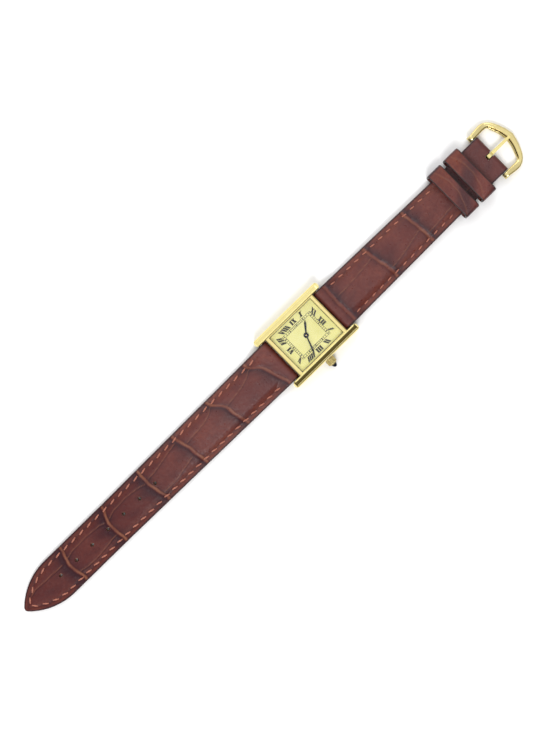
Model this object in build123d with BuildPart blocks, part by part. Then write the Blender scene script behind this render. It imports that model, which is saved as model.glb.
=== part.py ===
from build123d import *
from math import asin, cos, degrees, radians, sin
import os

os.makedirs("parts", exist_ok=True)

# Millimetres. X runs to the crown at three o'clock, Y to twelve o'clock, and Z
# up through the crystal. The origin is the centre of the back's lower face.

# How far every cut runs past the face that it leaves by
overrun = 0.5

# Case: a body between two long rails, whose ends are the lugs
case_width = 20.6
case_length = 28.0
rail_width = 2.35
rail_lift = 0.25
rail_rise = 0.5
rail_outer_round = 1.1
rail_inner_round = 0.5
rail_foot_round = 0.4
rail_end_round = 1.1
rail_end_drop = 1.3
body_length = 20.7
cavity_width = 15.1
cavity_length = 18.4
cavity_round = 0.6
bezel_bar = 0.55
bezel_step = 0.5
bezel_rise = 0.55
seat_ledge = 0.28
edge_break = 0.12

# Back, its gasket and its four countersunk screws
back_flange = 0.45
back_lip = 0.35
back_clearance = 0.05
lip_inset = 0.15
gasket_groove = 0.25
back_screw_radius = 0.4
back_screw_head = 0.85
back_screw_countersink = 0.35
back_screw_length = 2.6
back_screw_inset_x = 1.25
back_screw_inset_y = 0.95
boss_radius = 0.65
boss_height = 2.0
slot_width = 0.22
slot_depth = 0.15

# Crystal, its gasket and the dial below it
crystal_clearance = 0.03
crystal_thickness = 0.8
crystal_bevel = 0.3
crystal_gasket_thickness = 0.1
hand_space = 0.75
dial_thickness = 0.4
dial_clearance = 0.05
dial_hole_radius = 0.75
dial_foot_radius = 0.25
dial_foot_length = 0.7
dial_foot_x = 5.9
dial_foot_y = 5.2

# Movement: plate, bridge and the space between them
movement_gap = 0.1
movement_width = 13.0
movement_length = 15.0
movement_clearance = 0.05
plate_thickness = 0.4
plate_rim = 0.45
bridge_thickness = 0.25
bridge_edge = 0.5
train_space = 1.15
motion_space = 0.5
holder_gap = 0.08
pillar_radius = 0.5
bridge_screw_radius = 0.25
bridge_screw_head = 0.42
bridge_screw_head_height = 0.12
pillar_west_x = 5.3
pillar_west_y = 2.6
pillar_east_x = 5.1
pillar_east_y = 4.7
pivot_radius = 0.1
pivot_clearance = 0.02
pivot_depth = 0.25
end_shake = 0.02

# Wheel train: teeth of each wheel and pinion, and the module of each mesh
centre_teeth = 30
third_pinion_teeth = 10
third_teeth = 40
intermediate_pinion_teeth = 8
intermediate_teeth = 48
rotor_pinion_teeth = 8
centre_module = 0.09
third_module = 0.07
rotor_module = 0.05
third_bearing = 100.0
intermediate_bearing = 60.0
rotor_bearing = 120.0
minute_wheel_bearing = -60.0
arbor_radius = 0.16
centre_arbor_radius = 0.2
wheel_thickness = 0.13
pinion_height = 0.2
rotor_radius = 0.6
rotor_height = 0.42

# Motion works, which turn the hour hand once in twelve turns of the minute hand
cannon_teeth = 10
minute_wheel_teeth = 30
minute_pinion_teeth = 8
hour_wheel_teeth = 32
cannon_radius = 0.3
hour_tube_clearance = 0.06
hour_tube_wall = 0.16

# Hands
hand_thickness = 0.12
hand_gap = 0.16
minute_hand_length = 6.7
minute_hand_width = 0.6
hour_hand_length = 5.1
hour_hand_width = 0.72
hand_hub_radius = 0.86
minute_hub_radius = 0.6
minute_hand_angle = 110.0
hour_hand_angle = 309.2
hand_waist_share = 0.5
hand_belly_share = 0.76

# Cell, its clamp, coil, stator and circuit
cell_radius = 3.4
cell_height = 1.57
cell_x = -2.95
cell_y = -4.05
cell_edge_round = 0.2
clamp_thickness = 0.08
clamp_width = 1.2
core_length = 8.4
core_width = 0.5
core_thickness = 0.2
winding_length = 5.4
winding_width = 1.2
winding_height = 0.96
winding_round = 0.35
coil_x = -0.8
coil_y = 6.4
stator_thickness = 0.25
stator_width = 1.7
stator_leg = 1.3
rotor_gap = 0.12
board_width = 3.9
board_length = 5.6
board_thickness = 0.25
board_inset = 0.55
chip_side = 1.7
chip_height = 0.35
crystal_can_radius = 0.42
crystal_can_length = 3.4

# Crown, stem, tube and setting lever
crown_radius = 1.6
crown_gap = 0.13
crown_length = 2.07
crown_wall = 0.4
crown_end_wall = 0.5
crown_flutes = 20
crown_flute_radius = 0.16
crown_round = 0.25
collar_radius = 1.12
collar_height = 0.25
cabochon_radius = 0.93
cabochon_height = 1.3
cabochon_nose = 0.35
stem_radius = 0.35
stem_clearance = 0.06
stem_seat = 0.3
stem_reach = 2.7
stem_groove_radius = 0.2
stem_groove_width = 0.5
tube_radius = 0.9
tube_space = 0.25
crown_pull = 0.7
seal_clearance = 0.03
seal_width = 0.35
seal_offset = 0.1
lever_arm = 2.1
lever_thickness = 0.15
lever_width = 0.6
lever_pin_radius = 0.14
lever_x = 5.2
lever_drop = 0.1

# Spring bars at the lugs and at the buckle
sleeve_radius = 0.75
sleeve_bore = 0.5
sleeve_clearance = 0.1
tip_clearance = 0.04
tip_radius = 0.38
tip_reach = 1.0
tip_retraction = 1.0
tip_shank = 2.6
lug_hole_clearance = 0.07
lug_hole_margin = 0.15
spring_wall = 0.12

# Strap halves: leather over padding over lining
strap_gap = 0.15
strap_lift = 0.25
strap_case_gap = 0.35
strap_bore_clearance = 0.08
strap_wrap = 0.82
strap_width_end = 14.2
strap_lug_run = 3.5
strap_shoulder = 20.0
lining_thickness = 0.6
leather_thickness = 0.7
padding_inset = 2.3

buckle_half_length = 83.6
keeper_clearance_below = 0.1
keeper_run_back = 37.15
strap_top = 3.5
strap_12_thin = 2.3
strap_12_taper_back = 20.15
padding_12_back = 22.15

tail_half_length = 126.1
tip_length = 15.4
tip_nose = 1.1
tail_taper_back = 41.1
tail_thin = 2.1
tail_end_thickness = 1.7
padding_6_back = 38.1
hole_radius = 0.65
hole_count = 7
hole_pitch = 7.05
hole_last_back = 16.1

# Keepers
keeper_wall = 0.85
keeper_inner_width = 16.6
keeper_inner_height = 4.6
keeper_corner = 1.5
free_keeper_length = 5.6
keeper_space = 1.7
fixed_keeper_length = 5.8
fixed_keeper_back = 12.0

# Buckle and tongue
buckle_loop_radius = 1.45
buckle_gap = 0.15
arm_thickness = 1.85
frame_front = 10.65
frame_bar = 2.75
frame_shoulder_run = 5.45
frame_point = 1.6
frame_corner = 2.6
frame_flare = 0.4
frame_waist_run = 3.85
tongue_notch = 1.8
tongue_width = 1.2
tongue_tip_width = 0.85
tongue_thickness = 0.75
tongue_wrap = 0.5
tongue_rest_gap = 0.06
tongue_overhang = 1.6

# Levels up through the case
lip_level = back_flange + back_lip
movement_level = lip_level + movement_gap
bridge_level = movement_level + clamp_thickness
train_level = bridge_level + bridge_thickness
plate_level = train_level + train_space
motion_level = plate_level + plate_thickness
dial_level = motion_level + motion_space
dial_top = dial_level + dial_thickness
seat_level = dial_top + hand_space
crystal_level = seat_level + crystal_gasket_thickness
bezel_top = crystal_level + bezel_rise
rail_top = bezel_top + rail_rise
stem_level = plate_level - stem_radius - movement_clearance

# Halves and places across the case
rail_inner = case_width / 2 - rail_width
body_half = body_length / 2
cavity_x = cavity_width / 2
cavity_y = cavity_length / 2
loop_radius = sleeve_radius + strap_bore_clearance + strap_wrap
bar_y = body_half + strap_case_gap + loop_radius
bar_level = loop_radius + strap_lift
up = (Align.CENTER, Align.CENTER, Align.MIN)


def slab(width, length, level, height, mode=Mode.ADD, corner=0):
    """A flat block centred on the case, standing on a level."""
    with BuildSketch(Plane.XY.offset(level)) as outline:
        if corner:
            RectangleRounded(width, length, corner)
        else:
            Rectangle(width, length)
    extrude(outline.sketch, amount=height, mode=mode)


def post(x, y, level, radius, height, mode=Mode.ADD):
    """A round post standing on a level."""
    with Locations((x, y, level)):
        Cylinder(radius, height, align=up, mode=mode)


def rod(x, y, level, radius, length, mode=Mode.ADD):
    """A round rod along X from its left end."""
    with Locations(Location((x, y, level), (0, 90, 0))):
        Cylinder(radius, length, align=up, mode=mode)


def cone(x, y, level, low_radius, high_radius, height, mode=Mode.ADD):
    """A cone standing on a level."""
    with Locations((x, y, level)):
        Cone(low_radius, high_radius, height, align=up, mode=mode)


def toothing(teeth, module, place, phase):
    """The outline of a wheel or pinion with a tooth at the phase angle."""
    pitch_radius = teeth * module / 2
    root_share, tip_share, foot_half_share, tip_half_share = 1.3, 0.9, 0.72, 0.28
    root = pitch_radius - root_share * module
    tip = pitch_radius + tip_share * module
    with BuildSketch() as outline:
        with Locations(place):
            Circle(root)
            with PolarLocations(0, teeth, start_angle=phase):
                Polygon(
                    (root - module / 2, -foot_half_share * module),
                    (tip, -tip_half_share * module),
                    (tip, tip_half_share * module),
                    (root - module / 2, foot_half_share * module),
                    align=None,
                )
    return outline.sketch


def toothed(teeth, module, place, phase, level, thickness):
    """A wheel or pinion of that outline on a level."""
    outline = toothing(teeth, module, place, phase)
    extrude(Plane.XY.offset(level) * outline, amount=thickness)


def bearing_to(start, distance, angle):
    """The point at a distance and an angle from another."""
    return (
        start[0] + distance * cos(radians(angle)),
        start[1] + distance * sin(radians(angle)),
    )


def finish(piece, name):
    """Labels a finished piece and writes it."""
    piece.part.label = name
    export_step(piece.part, f"parts/{name}.step")


# Case middle: body, rails and bezel are one piece of metal
screw_x = cavity_x - back_screw_inset_x
screw_y = cavity_y - back_screw_inset_y
boss_base = lip_level + back_clearance
opening_x = cavity_x - seat_ledge / 2
opening_y = cavity_y - seat_ledge
crystal_x = opening_x + seat_ledge
crystal_y = opening_y + seat_ledge
rail_middle = (rail_inner + case_width / 2) / 2
lug_hole_radius = tip_radius + lug_hole_clearance
lug_hole_depth = tip_reach - strap_gap + lug_hole_margin

with BuildPart() as case_middle:
    with BuildSketch(Plane.XZ) as rail_section:
        with Locations((rail_middle, (rail_lift + rail_top) / 2)):
            Rectangle(rail_width, rail_top - rail_lift)
        fillet(
            rail_section.vertices().group_by(Axis.Y)[-1].sort_by(Axis.X)[-1],
            rail_outer_round,
        )
        fillet(
            rail_section.vertices().group_by(Axis.Y)[-1].sort_by(Axis.X)[0],
            rail_inner_round,
        )
        fillet(rail_section.vertices().group_by(Axis.Y)[0], rail_foot_round)
    extrude(amount=case_length / 2, both=True)
    with BuildSketch(Plane.XY) as rail_plan:
        with Locations((rail_middle, 0)):
            RectangleRounded(rail_width, case_length, rail_end_round)
    extrude(amount=rail_top, mode=Mode.INTERSECT)
    with BuildSketch(Plane.YZ.offset(rail_inner)) as rail_side:
        with Locations((0, (rail_lift + rail_top) / 2)):
            Rectangle(case_length, rail_top - rail_lift)
        fillet(rail_side.vertices().group_by(Axis.Y)[-1], rail_end_drop)
        fillet(rail_side.vertices().group_by(Axis.Y)[0], rail_foot_round)
    extrude(amount=rail_width, mode=Mode.INTERSECT)
    mirror(about=Plane.YZ)
    slab(
        2 * rail_inner + rail_width,
        body_length,
        back_flange,
        bezel_top - bezel_step - back_flange,
    )
    slab(
        2 * rail_inner + rail_width,
        2 * (crystal_y + bezel_bar),
        bezel_top - bezel_step,
        bezel_step,
    )
    # Gasket recess, cavity and the opening for crystal and dial
    slab(
        cavity_width + gasket_groove,
        cavity_length + gasket_groove,
        back_flange,
        boss_base - back_flange,
        Mode.SUBTRACT,
        cavity_round,
    )
    slab(
        cavity_width,
        cavity_length,
        boss_base,
        dial_top - boss_base,
        Mode.SUBTRACT,
    )
    slab(
        2 * opening_x,
        2 * opening_y,
        dial_top,
        hand_space,
        Mode.SUBTRACT,
    )
    slab(
        2 * crystal_x,
        2 * crystal_y,
        seat_level,
        rail_top - seat_level + overrun,
        Mode.SUBTRACT,
    )
    # Corner bosses that take the back's screws
    for side_x in (-1, 1):
        for side_y in (-1, 1):
            with BuildSketch(Plane.XY.offset(boss_base)) as boss:
                with Locations((side_x * screw_x, side_y * screw_y)):
                    Circle(boss_radius)
                with Locations((side_x * cavity_x, side_y * cavity_y)):
                    Rectangle(
                        2 * back_screw_inset_x,
                        2 * back_screw_inset_y,
                    )
            extrude(boss.sketch, amount=boss_height)
            post(
                side_x * screw_x,
                side_y * screw_y,
                boss_base - overrun,
                back_screw_radius,
                back_screw_length - boss_base + overrun,
                Mode.SUBTRACT,
            )
    # Bore for the crown tube, and blind holes for the spring bars' tips
    rod(cavity_x - overrun, 0, stem_level, tube_radius, case_width, Mode.SUBTRACT)
    for side_y in (-1, 1):
        rod(
            -rail_inner - lug_hole_depth,
            side_y * bar_y,
            bar_level,
            lug_hole_radius,
            2 * (rail_inner + lug_hole_depth),
            Mode.SUBTRACT,
        )
finish(case_middle, "case_middle")

# Back: a plate between the rails with a lip that centres it in the body
back_half_x = rail_inner - back_clearance
lip_x = cavity_x - lip_inset - gasket_groove
lip_y = cavity_y - lip_inset - gasket_groove
back_width_y = body_half - back_clearance
with BuildPart() as case_back:
    slab(2 * back_half_x, 2 * back_width_y, 0, back_flange)
    chamfer(case_back.edges().group_by(Axis.Z)[0], edge_break)
    slab(2 * lip_x, 2 * lip_y, back_flange, back_lip, corner=cavity_round)
    for side_x in (-1, 1):
        for side_y in (-1, 1):
            post(
                side_x * screw_x,
                side_y * screw_y,
                -overrun,
                back_screw_radius + back_clearance,
                lip_level + 2 * overrun,
                Mode.SUBTRACT,
            )
            cone(
                side_x * screw_x,
                side_y * screw_y,
                0,
                back_screw_head,
                back_screw_radius + back_clearance,
                back_screw_countersink,
                Mode.SUBTRACT,
            )
finish(case_back, "case_back")

# Back screws: countersunk and slotted
with BuildPart() as case_back_screws:
    for side_x in (-1, 1):
        for side_y in (-1, 1):
            post(
                side_x * screw_x,
                side_y * screw_y,
                0,
                back_screw_radius,
                back_screw_length - back_clearance,
            )
            cone(
                side_x * screw_x,
                side_y * screw_y,
                0,
                back_screw_head - back_clearance,
                back_screw_radius,
                back_screw_countersink,
            )
            with BuildSketch() as slot:
                with Locations((side_x * screw_x, side_y * screw_y)):
                    Rectangle(2 * back_screw_head, slot_width)
            extrude(slot.sketch, amount=slot_depth, mode=Mode.SUBTRACT)
finish(case_back_screws, "case_back_screws")

# Back gasket: a flat ring round the lip
with BuildPart() as case_back_gasket:
    slab(
        cavity_width + gasket_groove,
        cavity_length + gasket_groove,
        back_flange,
        boss_base - back_flange,
        corner=cavity_round,
    )
    slab(
        2 * (lip_x + back_clearance),
        2 * (lip_y + back_clearance),
        back_flange,
        boss_base - back_flange,
        Mode.SUBTRACT,
        cavity_round,
    )
finish(case_back_gasket, "case_back_gasket")

# Crystal: a flat plate with bevelled upper edges, on a thin gasket
with BuildPart() as crystal:
    slab(
        2 * (crystal_x - crystal_clearance),
        2 * (crystal_y - crystal_clearance),
        crystal_level,
        crystal_thickness,
    )
    chamfer(crystal.edges().group_by(Axis.Z)[-1], crystal_bevel)
finish(crystal, "crystal")

with BuildPart() as crystal_gasket:
    slab(
        2 * (crystal_x - crystal_clearance),
        2 * (crystal_y - crystal_clearance),
        seat_level,
        crystal_gasket_thickness,
    )
    slab(
        2 * opening_x,
        2 * opening_y,
        seat_level,
        crystal_gasket_thickness,
        Mode.SUBTRACT,
    )
finish(crystal_gasket, "crystal_gasket")

# Dial: a plate with a centre hole, on two feet
with BuildPart() as dial:
    slab(
        2 * (cavity_x - dial_clearance),
        2 * (cavity_y - dial_clearance),
        dial_level,
        dial_thickness,
    )
    for side in (-1, 1):
        post(
            side * dial_foot_x,
            side * dial_foot_y,
            dial_level - dial_foot_length,
            dial_foot_radius,
            dial_foot_length,
        )
    post(0, 0, dial_level, dial_hole_radius, dial_thickness, Mode.SUBTRACT)
finish(dial, "dial")

# Holder: a moulded ring that centres the movement in the cavity
with BuildPart() as movement_holder:
    slab(
        2 * (cavity_x - holder_gap),
        2 * (cavity_y - holder_gap),
        movement_level,
        dial_level - movement_level,
    )
    slab(
        movement_width + 2 * movement_clearance,
        movement_length + 2 * movement_clearance,
        movement_level,
        dial_level - movement_level,
        Mode.SUBTRACT,
    )
    for side_x in (-1, 1):
        for side_y in (-1, 1):
            with BuildSketch(Plane.XY.offset(movement_level)) as relief:
                with Locations((side_x * screw_x, side_y * screw_y)):
                    Circle(boss_radius + holder_gap)
                with Locations((side_x * cavity_x, side_y * cavity_y)):
                    Rectangle(
                        2 * (back_screw_inset_x + holder_gap),
                        2 * (back_screw_inset_y + holder_gap),
                    )
            extrude(
                relief.sketch,
                amount=boss_base + boss_height + holder_gap - movement_level,
                mode=Mode.SUBTRACT,
            )
    rod(
        movement_width / 2 - overrun,
        0,
        stem_level,
        tube_radius + holder_gap,
        rail_width,
        Mode.SUBTRACT,
    )
finish(movement_holder, "movement_holder")

# Where each arbor of the train and the motion works stands
centre = (0, 0)
third = bearing_to(
    centre,
    (centre_teeth + third_pinion_teeth) * centre_module / 2,
    third_bearing,
)
intermediate = bearing_to(
    third,
    (third_teeth + intermediate_pinion_teeth) * third_module / 2,
    intermediate_bearing,
)
rotor_place = bearing_to(
    intermediate,
    (intermediate_teeth + rotor_pinion_teeth) * rotor_module / 2,
    rotor_bearing,
)
minute_place = bearing_to(
    centre,
    (cannon_teeth + minute_wheel_teeth) * centre_module / 2,
    minute_wheel_bearing,
)
arbors = (centre, third, intermediate, rotor_place)
pillars = ((-pillar_west_x, pillar_west_y), (pillar_east_x, pillar_east_y))
board_x = movement_width / 2 - board_inset - board_width / 2
board_y = -movement_length / 2 + board_inset + board_length / 2
lever_swing = degrees(asin(crown_pull / 2 / lever_arm))
lever_pivot = (lever_x, lever_arm)
pin_x = lever_x - lever_arm * sin(radians(lever_swing))
lever_level = stem_level - stem_radius - lever_drop - lever_thickness

# Main plate: a tray whose rim closes on the bridge
with BuildPart() as main_plate:
    slab(movement_width, movement_length, train_level, motion_level - train_level)
    slab(
        movement_width - 2 * plate_rim,
        movement_length - 2 * plate_rim,
        train_level,
        train_space,
        Mode.SUBTRACT,
    )
    for x, y in pillars:
        post(x, y, train_level, pillar_radius, train_space)
    post(*lever_pivot, lever_level, lever_pin_radius, plate_level - lever_level)
    post(
        cell_x,
        cell_y,
        train_level - overrun,
        cell_radius + movement_clearance,
        bridge_level + cell_height + movement_clearance - train_level + overrun,
        Mode.SUBTRACT,
    )
    post(
        0,
        0,
        plate_level,
        cannon_radius + pivot_clearance,
        plate_thickness,
        Mode.SUBTRACT,
    )
    for x, y in arbors[1:]:
        post(
            x,
            y,
            plate_level,
            pivot_radius + pivot_clearance,
            pivot_depth + end_shake,
            Mode.SUBTRACT,
        )
    post(*minute_place, motion_level, arbor_radius, motion_space - end_shake)
    rod(
        movement_width / 2 - plate_rim - overrun,
        0,
        stem_level,
        stem_radius + stem_clearance,
        plate_rim + 2 * overrun,
        Mode.SUBTRACT,
    )
    for x, y in pillars:
        post(
            x,
            y,
            train_level,
            bridge_screw_radius,
            train_space / 2,
            Mode.SUBTRACT,
        )
    for side in (-1, 1):
        post(
            side * dial_foot_x,
            side * dial_foot_y,
            train_level,
            dial_foot_radius + pivot_clearance,
            motion_level - train_level,
            Mode.SUBTRACT,
        )
finish(main_plate, "main_plate")

# Train bridge: carries the lower pivots and is cut back round the cell
with BuildPart() as train_bridge:
    slab(movement_width, movement_length, bridge_level, bridge_thickness)
    with BuildSketch(Plane.XY.offset(bridge_level)) as bridge_cut:
        with Locations((0, -bridge_edge)):
            Rectangle(
                movement_width + overrun,
                movement_length,
                align=(Align.CENTER, Align.MAX),
            )
    extrude(amount=bridge_thickness, mode=Mode.SUBTRACT)
    post(
        cell_x,
        cell_y,
        bridge_level,
        cell_radius + movement_clearance,
        bridge_thickness,
        Mode.SUBTRACT,
    )
    for x, y in arbors:
        post(
            x,
            y,
            bridge_level,
            pivot_radius + pivot_clearance,
            bridge_thickness,
            Mode.SUBTRACT,
        )
    for x, y in pillars:
        post(
            x,
            y,
            bridge_level,
            bridge_screw_radius,
            bridge_thickness,
            Mode.SUBTRACT,
        )
        post(
            x,
            y,
            bridge_level,
            bridge_screw_head,
            bridge_screw_head_height,
            Mode.SUBTRACT,
        )
finish(train_bridge, "train_bridge")

# Bridge screws: two cheese heads with slots
with BuildPart() as bridge_screws:
    for x, y in pillars:
        post(
            x,
            y,
            bridge_level,
            bridge_screw_radius,
            bridge_thickness + train_space / 2,
        )
        post(x, y, bridge_level, bridge_screw_head, bridge_screw_head_height)
        with BuildSketch(Plane.XY.offset(bridge_level)) as slot:
            with Locations((x, y)):
                Rectangle(2 * bridge_screw_head, slot_width / 2)
        extrude(slot.sketch, amount=slot_depth / 2, mode=Mode.SUBTRACT)
finish(bridge_screws, "bridge_screws")

# Cell and the strip that clamps it
with BuildPart() as cell:
    post(cell_x, cell_y, bridge_level, cell_radius, cell_height)
    fillet(cell.edges().group_by(Axis.Z)[-1], cell_edge_round)
finish(cell, "cell")

clamp_start = -movement_width / 2 + plate_rim
with BuildPart() as cell_clamp:
    with BuildSketch(Plane.XY.offset(movement_level)):
        with BuildLine():
            Polyline(
                (cell_x - clamp_width / 2, cell_y - clamp_width),
                (cell_x + clamp_width / 2, cell_y - clamp_width),
                (cell_x + clamp_width / 2, -bridge_edge + 2 * clamp_width),
                (cell_x - clamp_width / 2, -bridge_edge + 2 * clamp_width),
                close=True,
            )
        make_face()
    extrude(amount=clamp_thickness)
    fillet(cell_clamp.edges().filter_by(Axis.Z), clamp_width / 4)
finish(cell_clamp, "cell_clamp")

# Stator: a soft-iron plate round the rotor with two legs up to the coil core
stator_level = train_level + stator_thickness
core_level = stator_level + stator_thickness
stator_half = core_length / 2
with BuildPart() as stator:
    with BuildSketch(Plane.XY.offset(stator_level)):
        with Locations((coil_x, rotor_place[1])):
            Rectangle(core_length, stator_width)
        for side in (-1, 1):
            with Locations((coil_x + side * (stator_half - stator_leg / 2), coil_y)):
                Rectangle(
                    stator_leg,
                    coil_y - rotor_place[1] + core_width / 2,
                    align=(Align.CENTER, Align.MAX),
                )
            with Locations((coil_x + side * (stator_half - stator_leg / 2), coil_y)):
                Circle(stator_leg / 2)
        with Locations(rotor_place):
            Circle(rotor_radius + rotor_gap, mode=Mode.SUBTRACT)
    extrude(amount=stator_thickness)
    for x, y in pillars:
        post(
            x,
            y,
            stator_level,
            pillar_radius + movement_clearance,
            stator_thickness,
            Mode.SUBTRACT,
        )
finish(stator, "stator")

# Coil: a winding on a flat core, whose ends lie on the stator's legs
winding_middle = core_level + core_thickness / 2
with BuildPart() as coil_core:
    with BuildSketch(Plane.XY.offset(core_level)):
        with Locations((coil_x, coil_y)):
            SlotOverall(core_length, core_width)
        for side in (-1, 1):
            with Locations((coil_x + side * (stator_half - stator_leg / 2), coil_y)):
                Circle(stator_leg / 2)
    extrude(amount=core_thickness)
finish(coil_core, "coil_core")

with BuildPart() as coil_winding:
    with BuildSketch(Plane.YZ.offset(coil_x - winding_length / 2)) as winding_section:
        with Locations((coil_y, winding_middle)):
            RectangleRounded(winding_width, winding_height, winding_round)
            Rectangle(core_width, core_thickness, mode=Mode.SUBTRACT)
    extrude(amount=winding_length)
finish(coil_winding, "coil_winding")

# Circuit board with its potted chip and the quartz can
board_level = train_level + movement_clearance
with BuildPart() as circuit_board:
    with BuildSketch(Plane.XY.offset(board_level)):
        with Locations((board_x, board_y)):
            Rectangle(board_width, board_length)
        with Locations((cell_x, cell_y)):
            Circle(cell_radius + 3 * movement_clearance, mode=Mode.SUBTRACT)
    extrude(amount=board_thickness)
finish(circuit_board, "circuit_board")

with BuildPart() as circuit_chip:
    with BuildSketch(Plane.XY.offset(board_level + board_thickness)):
        with Locations((board_x, board_y + board_length / 2 - chip_side / 2)):
            RectangleRounded(chip_side, chip_side, chip_side / 4)
    extrude(amount=chip_height)
    chamfer(circuit_chip.edges().group_by(Axis.Z)[-1], chip_height / 3)
finish(circuit_chip, "circuit_chip")

can_level = board_level + board_thickness + crystal_can_radius
with BuildPart() as quartz_can:
    with BuildSketch(
        Plane.XZ.offset(-board_y + board_length / 2 - crystal_can_length - movement_clearance)
    ):
        with Locations((board_x + board_width / 4, can_level)):
            Circle(crystal_can_radius)
    extrude(amount=crystal_can_length)
    fillet(quartz_can.edges(), crystal_can_radius / 3)
finish(quartz_can, "quartz_can")

# Levels of the train: third wheel low, centre wheel above it, intermediate on top
low_wheel_level = train_level + wheel_thickness
centre_wheel_level = low_wheel_level + wheel_thickness + pinion_height
high_wheel_level = centre_wheel_level + pinion_height
cannon_level = motion_level + end_shake
hour_level = cannon_level + pinion_height
minute_hand_level = dial_top + 2 * hand_gap + hand_thickness
hour_hand_level = dial_top + hand_gap


def arbor(place, base, top):
    """A wheel's arbor between bridge and plate, with its two pivots."""
    post(*place, train_level + end_shake, arbor_radius, train_space - 2 * end_shake)
    post(*place, base, pivot_radius, top - base)


# Centre wheel: its arbor passes up through the plate and the dial
with BuildPart() as centre_wheel:
    post(
        0,
        0,
        train_level + end_shake,
        centre_arbor_radius,
        minute_hand_level + hand_thickness - train_level - end_shake,
    )
    post(0, 0, bridge_level, pivot_radius, bridge_thickness + end_shake)
    toothed(
        centre_teeth,
        centre_module,
        centre,
        third_bearing,
        centre_wheel_level,
        wheel_thickness,
    )
finish(centre_wheel, "centre_wheel")

# Cannon pinion: a tube on the arbor with the teeth that drive the minute wheel
with BuildPart() as cannon_pinion:
    toothed(
        cannon_teeth,
        centre_module,
        centre,
        minute_wheel_bearing,
        cannon_level,
        pinion_height - end_shake,
    )
    post(
        0,
        0,
        plate_level,
        cannon_radius,
        minute_hand_level - plate_level,
    )
    post(
        0,
        0,
        plate_level,
        centre_arbor_radius,
        minute_hand_level - plate_level,
        Mode.SUBTRACT,
    )
finish(cannon_pinion, "cannon_pinion")

# Hour wheel: a wheel with a tube round the cannon pinion
hour_bore = cannon_radius + hour_tube_clearance
hour_tube = hour_bore + hour_tube_wall
with BuildPart() as hour_wheel:
    toothed(
        hour_wheel_teeth,
        centre_module,
        centre,
        minute_wheel_bearing,
        hour_level,
        wheel_thickness,
    )
    post(0, 0, hour_level, hour_tube, hour_hand_level + hand_thickness - hour_level)
    post(
        0,
        0,
        hour_level,
        hour_bore,
        hour_hand_level + hand_thickness - hour_level,
        Mode.SUBTRACT,
    )
finish(hour_wheel, "hour_wheel")

# Minute wheel: turns on a post of the plate, its pinion drives the hour wheel
with BuildPart() as minute_wheel:
    toothed(
        minute_wheel_teeth,
        centre_module,
        minute_place,
        180 + minute_wheel_bearing + 180 / minute_wheel_teeth,
        cannon_level,
        wheel_thickness,
    )
    toothed(
        minute_pinion_teeth,
        centre_module,
        minute_place,
        180 + minute_wheel_bearing + 180 / minute_pinion_teeth,
        cannon_level + wheel_thickness,
        pinion_height,
    )
    post(
        *minute_place,
        cannon_level,
        arbor_radius + pivot_clearance,
        wheel_thickness + pinion_height,
        Mode.SUBTRACT,
    )
finish(minute_wheel, "minute_wheel")

# Third wheel, intermediate wheel and rotor
with BuildPart() as third_wheel:
    arbor(third, bridge_level, plate_level + pivot_depth)
    toothed(
        third_teeth,
        third_module,
        third,
        intermediate_bearing,
        low_wheel_level,
        wheel_thickness,
    )
    toothed(
        third_pinion_teeth,
        centre_module,
        third,
        180 + third_bearing + 180 / third_pinion_teeth,
        centre_wheel_level - wheel_thickness / 2,
        pinion_height,
    )
finish(third_wheel, "third_wheel")

with BuildPart() as intermediate_wheel:
    arbor(intermediate, bridge_level, plate_level + pivot_depth)
    toothed(
        intermediate_teeth,
        rotor_module,
        intermediate,
        rotor_bearing,
        high_wheel_level,
        wheel_thickness,
    )
    toothed(
        intermediate_pinion_teeth,
        third_module,
        intermediate,
        180 + intermediate_bearing + 180 / intermediate_pinion_teeth,
        low_wheel_level - wheel_thickness / 4,
        pinion_height,
    )
finish(intermediate_wheel, "intermediate_wheel")

with BuildPart() as rotor:
    arbor(rotor_place, bridge_level, plate_level + pivot_depth)
    post(*rotor_place, train_level + wheel_thickness, rotor_radius, rotor_height)
    toothed(
        rotor_pinion_teeth,
        rotor_module,
        rotor_place,
        180 + rotor_bearing + 180 / rotor_pinion_teeth,
        high_wheel_level - wheel_thickness / 4,
        pinion_height,
    )
finish(rotor, "rotor")


def hand(length, width, hub, bore, angle, level):
    """A sword hand: waist at the hub, belly, then a long point."""
    waist = width * hand_waist_share
    belly = length * hand_belly_share
    with BuildSketch() as blade:
        with BuildLine():
            Polyline(
                (-waist / 2, 0),
                (-width / 2, belly),
                (0, length),
                (width / 2, belly),
                (waist / 2, 0),
                close=True,
            )
        make_face()
        Circle(hub)
        Circle(bore, mode=Mode.SUBTRACT)
    turned = Plane.XY.offset(level) * (Rot(0, 0, -angle) * blade.sketch)
    extrude(turned, amount=hand_thickness)


with BuildPart() as hour_hand:
    hand(
        hour_hand_length,
        hour_hand_width,
        hand_hub_radius,
        hour_tube,
        hour_hand_angle,
        hour_hand_level,
    )
finish(hour_hand, "hour_hand")

with BuildPart() as minute_hand:
    hand(
        minute_hand_length,
        minute_hand_width,
        minute_hub_radius,
        centre_arbor_radius,
        minute_hand_angle,
        minute_hand_level,
    )
finish(minute_hand, "minute_hand")

# Crown tube, pressed into the case wall
tube_start = cavity_x
crown_start = case_width / 2 + crown_gap
crown_end = crown_start + crown_length
tube_length = crown_end - crown_end_wall - tube_space - tube_start
with BuildPart() as crown_tube:
    rod(tube_start, 0, stem_level, tube_radius, tube_length)
    rod(
        tube_start,
        0,
        stem_level,
        stem_radius + stem_clearance,
        tube_length,
        Mode.SUBTRACT,
    )
finish(crown_tube, "crown_tube")

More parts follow.
